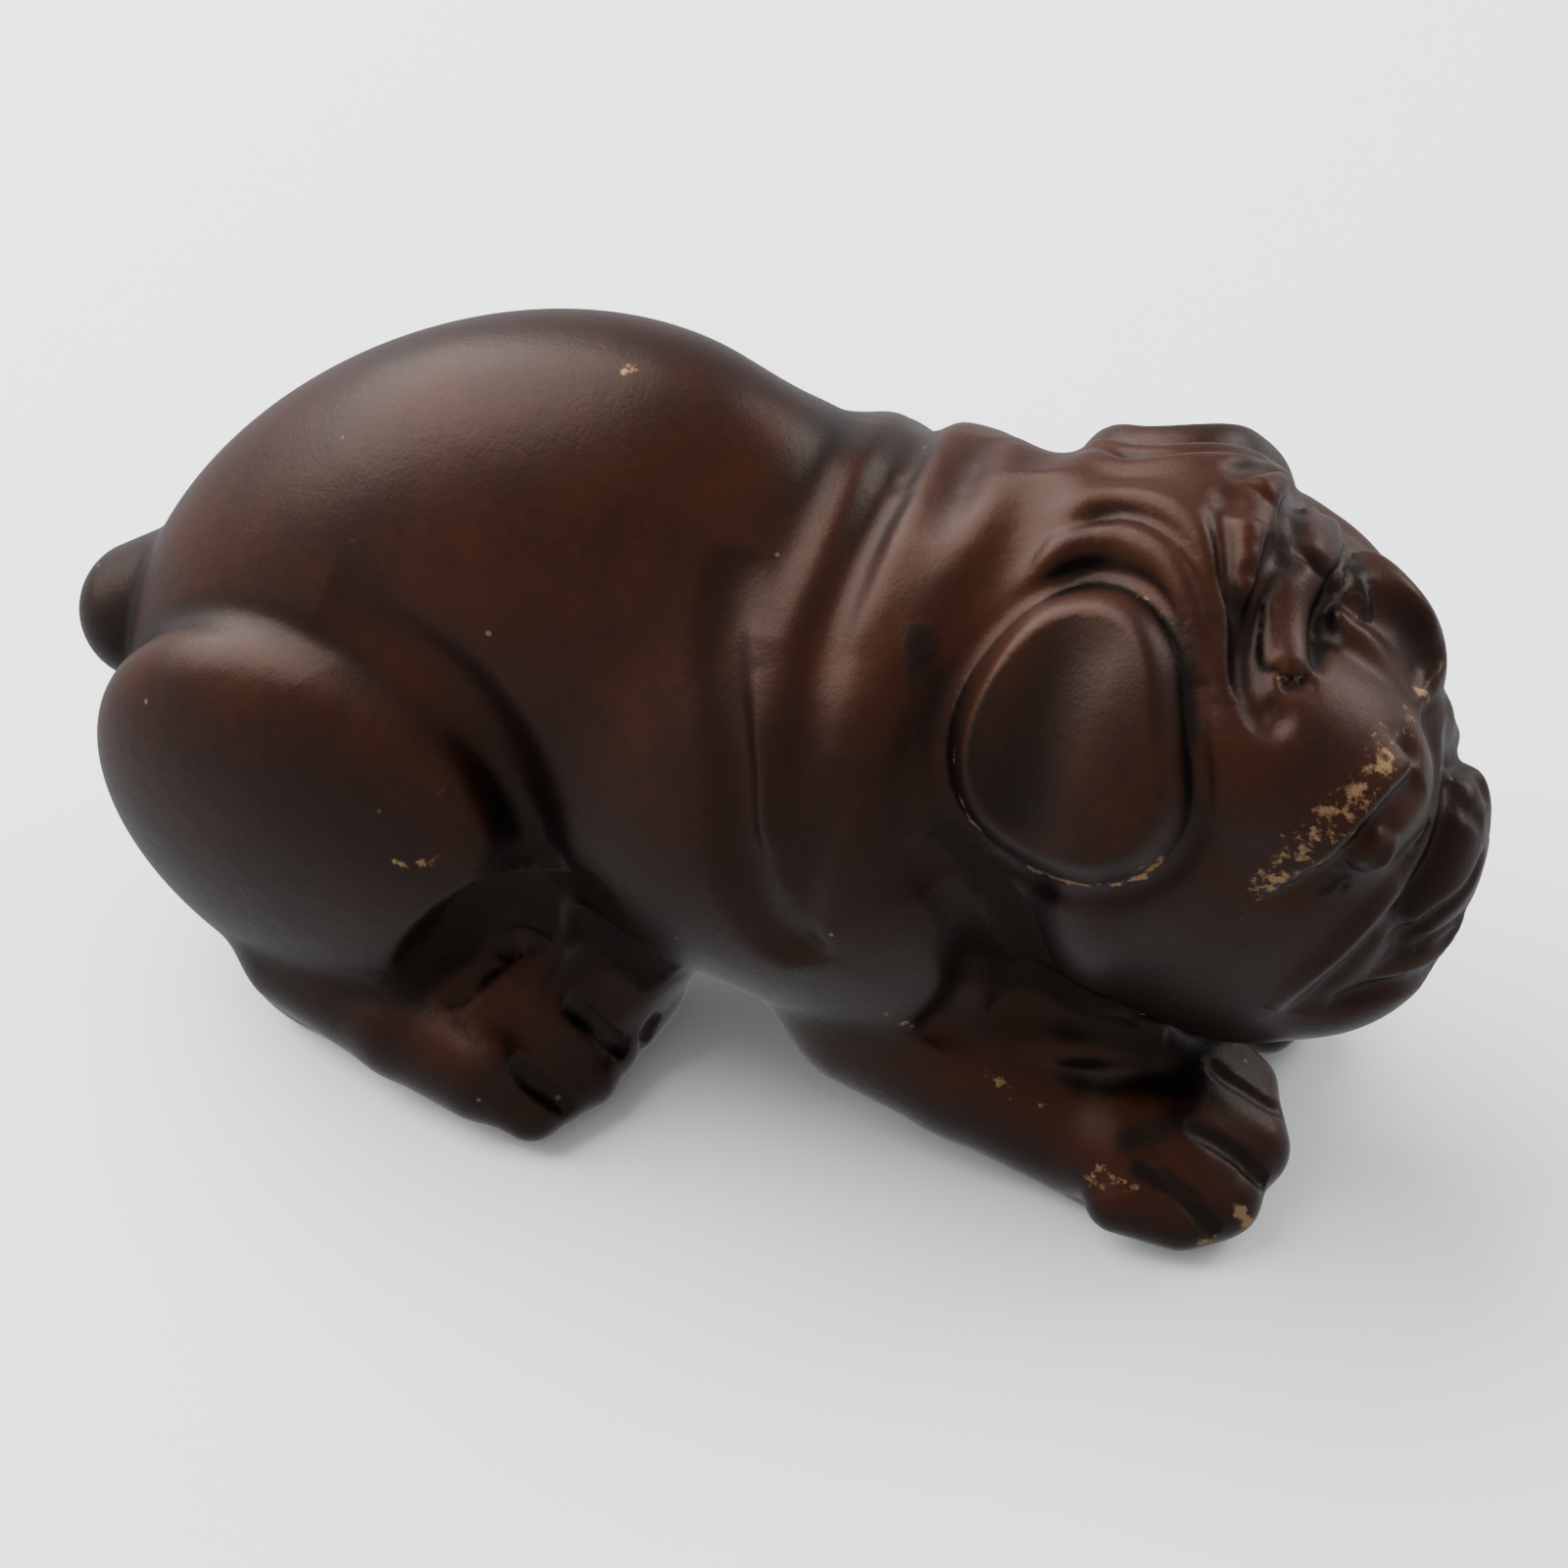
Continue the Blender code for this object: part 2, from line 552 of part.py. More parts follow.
    Fold([(85.8, 1.6, 41), (85.2, 4.6, 38.4), (83.1, 7.3, 36.8), (80.9, 8.1, 34.5), (78.9, 12.1, 36.2)],
         1.0, 0.8),
    # flew line 2
    Fold([(85.4, 1.9, 33.5), (83.8, 5.2, 33.1), (81.1, 7.6, 31.9)], 0.6, 0.7),
    # flew ridge
    Fold([(85.4, 2.2, 32.5), (83.4, 3.9, 29.6), (80.8, 9.1, 30.4), (77.9, 12.5, 31.6)], -0.8, 0.9),
    # mouth
    Fold([(85, 1.1, 27.8), (83.3, 3.4, 26.3), (81.2, 9.1, 28.9), (78.5, 12.2, 29.7),
          (74.7, 15.2, 29.6)],
         1.4, 1.0, ends=(0, 0.3)),
    # nostril
    Dent((82.7, 2.3, 47.7), 2.2, 1.0),
    # nose wing
    Fold([(81.1, 0, 48.5), (81.4, 2, 48.4), (82.5, 4.1, 47.3)], 1.5, 0.9),
    # nose base
    Fold([(82.5, 4.4, 47.1), (83.8, 3, 46.5), (85.3, 1.5, 43.6)], 1.3, 0.8),
]

# The ears, two thick flaps that lie on the sides of the head.

EARS = [
    Pad((48.8, 21.9, 61.3), (0.93, -0.19, 0.32), (-0.05, 0.8, 0.6),
        (10.4, 15.2, 12.6, 9.6, 10.8, 12.6, 13.6, 13.4), 2.9, 2.8, (0.9, 1.2)),
]


def form(points):
    """How far each point lies outside the figure's form, in units."""
    folded = points.copy()
    folded[:, 1] = np.sqrt(points[:, 1] ** 2 + MIDDLE_SOFTNESS**2)
    sides = {0: folded, 1: points, -1: points * np.array([1.0, -1.0, 1.0])}
    found = None
    for lump in CLAY:
        away = lump.distance(sides[lump.side])
        if found is None:
            found = away
        elif lump.cut:
            found = soft_most(found, -away, lump.blend)
        else:
            found = soft_least(found, away, lump.blend)
    for mark in SKIN + EARS:
        near, amount = mark.offset(sides[mark.side])
        if len(near):
            found[near] += amount
    return soft_most(found, GROUND - points[:, 2], SOLE_EDGE)


def slope(points, step=0.04):
    """How the distance grows in each direction, from four samples around each point."""
    corners = np.array([(1, -1, -1), (-1, -1, 1), (-1, 1, -1), (1, 1, 1)], float)
    total = np.zeros_like(points)
    for corner in corners:
        total += corner * form(points + step * corner)[:, None]
    return total / (4.0 * step)


# Meshing

def mesh_points(mesh):
    flat = np.empty(len(mesh.vertices) * 3)
    mesh.vertices.foreach_get("co", flat)
    return flat.reshape(-1, 3)


def set_mesh_points(mesh, points):
    mesh.vertices.foreach_set("co", points.ravel())
    mesh.update()


def applied(obj):
    """The object with its modifiers made real."""
    graph = bpy.context.evaluated_depsgraph_get()
    mesh = bpy.data.meshes.new_from_object(obj.evaluated_get(graph))
    obj.modifiers.clear()
    old = obj.data
    obj.data = mesh
    bpy.data.meshes.remove(old)
    return obj


def remesh(obj, grain):
    modifier = obj.modifiers.new("grain", "REMESH")
    modifier.mode = "VOXEL"
    modifier.voxel_size = grain
    modifier.adaptivity = 0.0
    return applied(obj)


def lay_clay(name):
    """A rough union of every lump, as spheres that overlap."""
    bm = bmesh.new()
    for lump in CLAY:
        if lump.cut:
            continue
        for side in (lump.side,) if lump.side else (1, -1):
            for centre, axes in lump.rounds():
                made = bmesh.ops.create_icosphere(bm, subdivisions=3, radius=1.0)["verts"]
                local = np.array([v.co for v in made]) @ axes.T + centre
                local[:, 1] *= side
                for vert, place in zip(made, local):
                    vert.co = place
                if side < 0:
                    faces = list({f for v in made for f in v.link_faces})
                    bmesh.ops.reverse_faces(bm, faces=faces)
    mesh = bpy.data.meshes.new(name)
    bm.to_mesh(mesh)
    bm.free()
    obj = bpy.data.objects.new(name, mesh)
    bpy.context.scene.collection.objects.link(obj)
    return obj


def press_to_form(obj):
    """Moves every point onto the form."""
    points = mesh_points(obj.data)
    for _ in range(PASSES):
        away = form(points)[:, None]
        rise = slope(points)
        steep = np.maximum((rise**2).sum(1)[:, None], LEAST_STEEPNESS)
        move = away * rise / steep
        far = np.linalg.norm(move, axis=1)[:, None]
        points -= move * np.minimum(1.0, LONGEST_MOVE / (far + 1e-9))
    set_mesh_points(obj.data, points)


def keep_largest(bm):
    """Removes everything but the largest shell."""
    left = set(bm.verts)
    shells = []
    while left:
        queue = [left.pop()]
        shell = []
        while queue:
            vert = queue.pop()
            shell.append(vert)
            for edge in vert.link_edges:
                other = edge.other_vert(vert)
                if other in left:
                    left.discard(other)
                    queue.append(other)
        shells.append(shell)
    shells.sort(key=len)
    for shell in shells[:-1]:
        bmesh.ops.delete(bm, geom=shell, context="VERTS")


def flatten_soles(obj):
    """Sets the points that lie on the ground exactly on it."""
    points = mesh_points(obj.data)
    low = points[:, 2] < GROUND + SOLE_CATCH
    points[low, 2] = GROUND
    set_mesh_points(obj.data, points)


def thin_out(obj, triangles):
    """Keeps this many triangles, most of them where the form bends."""
    modifier = obj.modifiers.new("thin", "DECIMATE")
    modifier.decimate_type = "COLLAPSE"
    modifier.ratio = triangles / (2.0 * len(obj.data.polygons))
    modifier.use_collapse_triangulate = True
    return applied(obj)


def set_down(obj):
    """Brings the figure to its real size, centred above the origin and standing on Z = 0."""
    points = mesh_points(obj.data)
    low = points.min(0)
    high = points.max(0)
    size = np.array([FIGURE_LENGTH, FIGURE_WIDTH, FIGURE_HEIGHT])
    points = (points - (low + high) / 2.0) * size / (high - low)
    points[:, 2] += FIGURE_HEIGHT / 2.0
    points[points[:, 2] < SOLE_FLATNESS, 2] = 0.0
    set_mesh_points(obj.data, points)


def sculpt(name):
    """The whole figure: the clay laid, pressed to the form, thinned out and set down."""
    obj = lay_clay(name)
    remesh(obj, CLAY_GRAIN)
    press_to_form(obj)
    remesh(obj, FINISH_GRAIN)
    press_to_form(obj)
    flatten_soles(obj)
    thin_out(obj, SOLID_TRIANGLES)
    set_down(obj)
    bm = bmesh.new()
    bm.from_mesh(obj.data)
    keep_largest(bm)
    bmesh.ops.triangulate(bm, faces=bm.faces[:])
    bmesh.ops.recalc_face_normals(bm, faces=bm.faces[:])
    for face in bm.faces:
        face.smooth = True
    bm.to_mesh(obj.data)
    bm.free()
    return obj


def bronze():
    """The dark brown metal of the casting."""
    material = bpy.data.materials.new("bronze")
    material.use_nodes = True
    shader = material.node_tree.nodes["Principled BSDF"]
    shader.inputs["Base Color"].default_value = BRONZE_BROWN
    shader.inputs["Roughness"].default_value = BRONZE_ROUGHNESS
    shader.inputs["Metallic"].default_value = BRONZE_METALLIC
    return material


def main():
    for old in list(bpy.data.objects):
        bpy.data.objects.remove(old)
    collection = bpy.data.collections.new("dog_figurine")
    bpy.context.scene.collection.children.link(collection)
    dog = sculpt("dog_figure")
    bpy.context.scene.collection.objects.unlink(dog)
    collection.objects.link(dog)
    dog.data.materials.clear()
    dog.data.materials.append(bronze())


main()
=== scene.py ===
"""The look of a small cast figurine of a bulldog puppy: dark brown bronze, rubbed to gold on its edges."""
import math

import bmesh
import bpy
import numpy as np
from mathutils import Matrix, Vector


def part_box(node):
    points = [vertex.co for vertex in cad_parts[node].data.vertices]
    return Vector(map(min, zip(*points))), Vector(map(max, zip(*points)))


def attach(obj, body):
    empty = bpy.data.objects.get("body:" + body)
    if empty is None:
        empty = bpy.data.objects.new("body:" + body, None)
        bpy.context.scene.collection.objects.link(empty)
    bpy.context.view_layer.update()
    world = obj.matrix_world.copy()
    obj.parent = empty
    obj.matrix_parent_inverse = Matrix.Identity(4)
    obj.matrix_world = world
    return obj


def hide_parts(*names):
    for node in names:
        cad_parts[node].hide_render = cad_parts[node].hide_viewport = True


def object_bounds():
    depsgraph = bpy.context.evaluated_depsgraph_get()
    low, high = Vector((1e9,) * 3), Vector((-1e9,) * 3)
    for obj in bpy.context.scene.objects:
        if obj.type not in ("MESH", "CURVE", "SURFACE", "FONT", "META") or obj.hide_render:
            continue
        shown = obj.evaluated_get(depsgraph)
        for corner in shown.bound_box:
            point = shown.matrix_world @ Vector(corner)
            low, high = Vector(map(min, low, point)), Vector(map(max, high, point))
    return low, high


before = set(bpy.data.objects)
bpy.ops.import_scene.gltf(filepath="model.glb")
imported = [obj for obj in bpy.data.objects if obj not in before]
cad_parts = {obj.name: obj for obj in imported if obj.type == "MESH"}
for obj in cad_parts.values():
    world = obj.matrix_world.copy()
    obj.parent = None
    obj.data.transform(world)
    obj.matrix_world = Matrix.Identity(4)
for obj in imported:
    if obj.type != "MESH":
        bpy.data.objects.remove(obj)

solid_low, solid_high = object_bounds()


# The body and the limbs
# One bronze casting, from a model built up in lumps. A lump stands for both sides of the dog, with Y
# measured out from the middle, unless it names its side. All is in units, shares of the figure's length.
UNITS_LONG = 145.6
UNIT = (solid_high.x - solid_low.x) / UNITS_LONG

# The two halves meet at the middle through a fold this soft, and a limb's stretches in joints this soft.
MIDDLE_SOFTNESS = 0.5
JOINT_SOFTNESS = 1.0

# The sides that a lump or a mark can stand on.
RIGHT = -1
BOTH = 0
LEFT = 1


def turned(degrees):
    """The matrix that turns a lump about X, then Y, then Z."""
    matrix = np.eye(3)
    for axis, angle in enumerate(degrees):
        c = math.cos(math.radians(angle))
        s = math.sin(math.radians(angle))
        i, j = [(1, 2), (2, 0), (0, 1)][axis]
        step = np.eye(3)
        step[i, i] = step[j, j] = c
        step[i, j] = -s
        step[j, i] = s
        matrix = step @ matrix
    return matrix


class Ball:
    """An egg-shaped lump, or a hollow of that shape when it is cut: centre, radii and turn in degrees."""

    def __init__(self, centre, radii, blend, turn=(0, 0, 0), cut=False, side=BOTH):
        self.centre = np.array(centre, float)
        self.radii = np.array(radii, float)
        self.matrix = turned(turn)
        self.blend = blend
        self.cut = cut
        self.side = side

    def distance(self, points):
        local = (points - self.centre) @ self.matrix
        near = np.sqrt(((local / self.radii) ** 2).sum(1)) + 1e-9
        steep = np.sqrt(((local / self.radii**2) ** 2).sum(1)) + 1e-9
        return near * (near - 1.0) / steep

    def rounds(self):
        """The balls that stand for the lump in the first rough clay."""
        return [(self.centre, self.matrix * self.radii)]


class Limb:
    """A limb through several stations, each a point and the limb's radius there."""

    def __init__(self, stations, blend):
        self.points = np.array([s[:3] for s in stations], float)
        self.radii = np.array([s[3] for s in stations], float)
        self.blend = blend
        self.cut = False
        self.side = BOTH

    def distance(self, points):
        found = None
        for start, end, r0, r1 in zip(self.points, self.points[1:], self.radii, self.radii[1:]):
            along = end - start
            share = np.clip((points - start) @ along / (along @ along), 0.0, 1.0)
            away = np.linalg.norm(points - start - share[:, None] * along, axis=1)
            away -= r0 + share * (r1 - r0)
            found = away if found is None else soft_least(found, away, JOINT_SOFTNESS)
        return found

    def rounds(self):
        found = []
        for start, end, r0, r1 in zip(self.points, self.points[1:], self.radii, self.radii[1:]):
            count = 2 + int(np.linalg.norm(end - start) / min(r0, r1))
            for share in np.linspace(0.0, 1.0, count):
                radius = r0 + share * (r1 - r0)
                found.append((start + share * (end - start), np.eye(3) * radius))
        return found


def soft_least(a, b, softness):
    """The smaller of two distances, rounded where they meet."""
    near = np.maximum(softness - np.abs(a - b), 0.0) / softness
    return np.minimum(a, b) - near * near * softness / 4.0


def soft_most(a, b, softness):
    return -soft_least(-a, -b, softness)


BODY = [
    # trunk
    Ball((-15.5, 0, 42.9), (43.9, 22.4, 28.2), turn=(0, -40, 0), blend=1),
    # ribs
    Ball((21.8, 0, 40.4), (33.4, 29.1, 28.1), turn=(0, -25, 0), blend=8),
    # neck
    Ball((34.6, 0, 43.9), (14, 21.1, 32.1), turn=(0, 22, 0), blend=8),
    # chest
    Ball((46.2, 0, 24), (17, 14.4, 18), blend=6),
]

HIND_LEGS = [
    # thigh
    Ball((-25.4, 17.3, 25.6), (26.3, 10.9, 26.4), turn=(-11, 17, 5), blend=3),
    # hollow behind the knee
    Ball((-3.8, 30, 20), (10, 10.5, 18.5), turn=(0, 33, 0), blend=1.2, cut=True),
    # shank
    Limb([(-30.1, 16.8, 7, 6.8), (-15.9, 22.4, 7, 7), (-7.1, 25.4, 6.1, 6.4)], blend=2.5),
    # paw
    Ball((-9, 17.6, 5.8), (7.8, 9.6, 5.8), turn=(0, 0, 12), blend=3),
    # inner toe
    Limb([(3.2, 8.3, 6.6, 3.5), (4.9, 9.4, 3.8, 2.9)], blend=1.2),
    # second toe
    Limb([(2.4, 14.5, 8.2, 4.2), (3.5, 13.8, 3.6, 3.6)], blend=1.2),
    # third toe
    Limb([(-2.4, 21.6, 7.4, 4.2), (1.9, 21.6, 3.2, 3.8)], blend=1.2),
    # outer toe
    Limb([(-6.2, 27.2, 4.9, 3.8), (-1.4, 27.8, 2.9, 3.3)], blend=1.2),
    # instep
    Limb([(-14, 19.6, 11.4, 5.4), (-6.6, 15.6, 10, 5.6)], blend=2.5),
    # top of the paw
    Ball((-4.2, 17, 7.4), (8.6, 9, 6.4), turn=(0, 0, 12), blend=2),
    # between the third and outer toes
    Limb([(-4.3, 24.6, 6.6, 4), (0.2, 24.8, 3.2, 3.5)], blend=1.5),
    # between the second and third toes
    Limb([(-0.2, 18, 8, 4.2), (2.7, 17.8, 3.6, 3.7)], blend=1.5),
    # between the inner and second toes
    Limb([(2.4, 11.5, 7.2, 3.8), (4.1, 11.6, 3.9, 3.2)], blend=1.5),
    # outer instep
    Limb([(-15, 20.5, 7, 5.6), (-10, 20, 10, 5.8), (-5, 18.7, 11.6, 6)], blend=2.5),
    # inner thigh
    Ball((-3, 8, 15), (15, 10, 13), blend=5),
    # paw's sole
    Ball((-5, 17.4, 2), (7.5, 6.5, 4.4), blend=1),
    # hock's sole
    Ball((-24, 18.4, 3), (11, 4.4, 5.4), blend=1),
]

TAIL = [
    # tail
    Limb([(-46.5, 0, 38.1, 6.8), (-52.1, 0, 33.4, 7.4)], blend=1),
]

FORE_LEGS = [
    # shoulder
    Ball((30, 15.4, 33), (14, 9.6, 25), turn=(-7, -8, -5), blend=6),
    # forearm
    Limb([(30.2, 13.7, 14.8, 8.9), (40.5, 13.6, 10.1, 8.5), (52, 15, 5.4, 7)], blend=4),
    # front paw
    Ball((57.6, 14.3, 6.6), (7.7, 9.8, 6.6), turn=(0, 0, 6), blend=3),
    # front paw's sole
    Ball((57.5, 15, 1.8), (8.5, 6.8, 4.4), blend=1),
    # inner front toe
    Limb([(62.6, 5, 8.6, 3.7), (66.2, 5, 5.6, 3.5)], blend=1.2),
    # second front toe
    Limb([(61.8, 12, 8.2, 4.3), (68, 11.6, 4.1, 4.5)], blend=1.2),
    # third front toe
    Limb([(61.2, 17.7, 7.3, 3.9), (67.2, 18.2, 3.2, 4)], blend=1.2),
    # outer front toe
    Limb([(58.2, 22.6, 4.9, 3.7), (63.8, 22.1, 3, 3.1)], blend=1.2),
    # breast
    Limb([(42, 13.5, 17, 4.5), (52, 11.5, 16.5, 4), (60.5, 8.8, 9.8, 3.4)], blend=2),
    # top of the front paw
    Ball((60.5, 13.5, 5.8), (7.5, 10, 5.6), blend=2),
    # between the inner and second front toes
    Limb([(61.9, 8.6, 8.4, 4), (67, 8.4, 5, 3.9)], blend=1.5),
    # between the second and third front toes
    Limb([(61.4, 15, 7.7, 4), (67, 15, 3.6, 4)], blend=1.5),
    # between the third and outer front toes
    Limb([(59.8, 20.1, 6.1, 3.6), (65.4, 20.2, 3.1, 3.6)], blend=1.5),
]


# The head
# Part of the same casting: a round skull, hanging cheeks, two heavy brows of unlike height, a short flat
# nose and a small eye deep under each brow.
HEAD = [
    # skull
    Ball((55, 0, 46.7), (13, 25.9, 26.5), turn=(0, 7, 0), blend=5),
    # forehead
    Ball((55.3, 0, 63.2), (11.6, 12.3, 12.3), blend=4),
    # cheek
    Ball((63.6, 11.1, 39.5), (16.1, 10.6, 24.1), turn=(-12, -11, -9), blend=3),
    # right brow
    Ball((67.5, 10, 56), (14.6, 12, 9.6), turn=(0, 30, -14), blend=3, side=RIGHT),
    # left brow
    Ball((68.6, 2.8, 56.7), (11, 9.5, 10.3), turn=(0, 22, -2), blend=2.5, side=LEFT),
    # flew
    Ball((78.8, 0, 36.1), (6.9, 8.6, 12.8), turn=(-14, 9, -5), blend=1.2),
    # jaw
    Ball((70.3, 0, 27.2), (13.6, 15.8, 9.4), turn=(0, -8, 0), blend=1.3),
    # nose
    Ball((78.3, 0, 50.4), (2.6, 6.8, 5.2), blend=0.8),
    # right eyeball
    Ball((76.3, 16.9, 52.3), (3.1, 3.1, 3.1), blend=0.4, side=RIGHT),
    # left eyeball
    Ball((74.7, 11.4, 49.6), (2.9, 2.9, 2.9), blend=0.4, side=LEFT),
]

CLAY = BODY + HIND_LEGS + TAIL + FORE_LEGS + HEAD


# The skin
# Loose folds, creases and dents pressed into the lumps, each with its depth and width in units. A depth
# below zero raises a ridge.

# A stepped fold presses in the skin on the left of its line, seen from this direction on the dog's right.
SEEN_FROM = (0.23, 0.707, 0.669)

# A rounded fold is felt this many of its widths away, and its depth runs out at the ends by this power.
FOLD_REACH = 2.6
FOLD_RUN_OUT = 0.7


def curve(points, per_span=4):
    """A smooth line through the points."""
    p = np.array(points, float)
    if len(p) < 3:
        return p
    p = np.vstack([2 * p[0] - p[1], p, 2 * p[-1] - p[-2]])
    found = []
    for a, b, c, d in zip(p, p[1:], p[2:], p[3:]):
        for t in np.arange(per_span) / per_span:
            bend = 2 * a - 5 * b + 4 * c - d
            twist = 3 * b - a - 3 * c + d
            found.append(b + 0.5 * (c - a) * t + 0.5 * bend * t * t + 0.5 * twist * t**3)
    found.append(p[-2])
    return np.array(found)


class Fold:
    """A line pressed into the skin, or raised when its depth is negative.

    A crisp fold is a sharp valley. A fold with a step presses in the skin on one side of its line
    and raises it on the other, and the step is how fast one goes over into the other.
    """

    def __init__(self, points, depth, width, ends=(0.2, 0.2), side=BOTH, crisp=False, step=0):
        self.line = curve(points)
        self.step = step
        self.depth = depth
        self.width = width
        self.ends = ends
        self.side = side
        self.crisp = crisp

    def offset(self, points):
        """How much the fold moves the surface at each point."""
        reach = self.width * (1.0 if self.crisp else FOLD_REACH)
        low = self.line.min(0) - reach
        high = self.line.max(0) + reach
        near = np.nonzero(((points > low) & (points < high)).all(1))[0]
        if not len(near):
            return near, None
        p = points[near]
        best = np.full(len(p), 1e9)
        place = np.zeros(len(p))
        leftward = np.zeros(len(p))
        spans = len(self.line) - 1
        for i in range(spans):
            a = self.line[i]
            along = self.line[i + 1] - a
            share = np.clip((p - a) @ along / (along @ along + 1e-12), 0.0, 1.0)
            beside = p - a - share[:, None] * along
            away = np.linalg.norm(beside, axis=1)
            closer = away < best
            best[closer] = away[closer]
            left = np.cross(along, SEEN_FROM) / np.linalg.norm(along)
            leftward[closer] = (beside @ left)[closer]
            place[closer] = ((i + share) / spans)[closer]
        if self.crisp:
            shape = np.clip(1.0 - best / self.width, 0.0, 1.0)
        else:
            shape = np.exp(-((best / self.width) ** 2))
        if self.step:
            shape *= np.tanh(leftward / self.step)
        if self.ends[0]:
            shape *= np.clip(place / self.ends[0], 0.0, 1.0) ** FOLD_RUN_OUT
        if self.ends[1]:
            shape *= np.clip((1.0 - place) / self.ends[1], 0.0, 1.0) ** FOLD_RUN_OUT
        return near, self.depth * shape


class Dent:
    """A round dent, or a bump when its depth is negative."""

    def __init__(self, centre, depth, width, side=BOTH):
        self.centre = np.array(centre, float)
        self.depth = depth
        self.width = width
        self.side = side

    def offset(self, points):
        away = points - self.centre
        near = np.nonzero((np.abs(away) < self.width * FOLD_REACH).all(1))[0]
        if not len(near):
            return near, None
        far = (away[near] ** 2).sum(1)
        return near, self.depth * np.exp(-far / self.width**2)


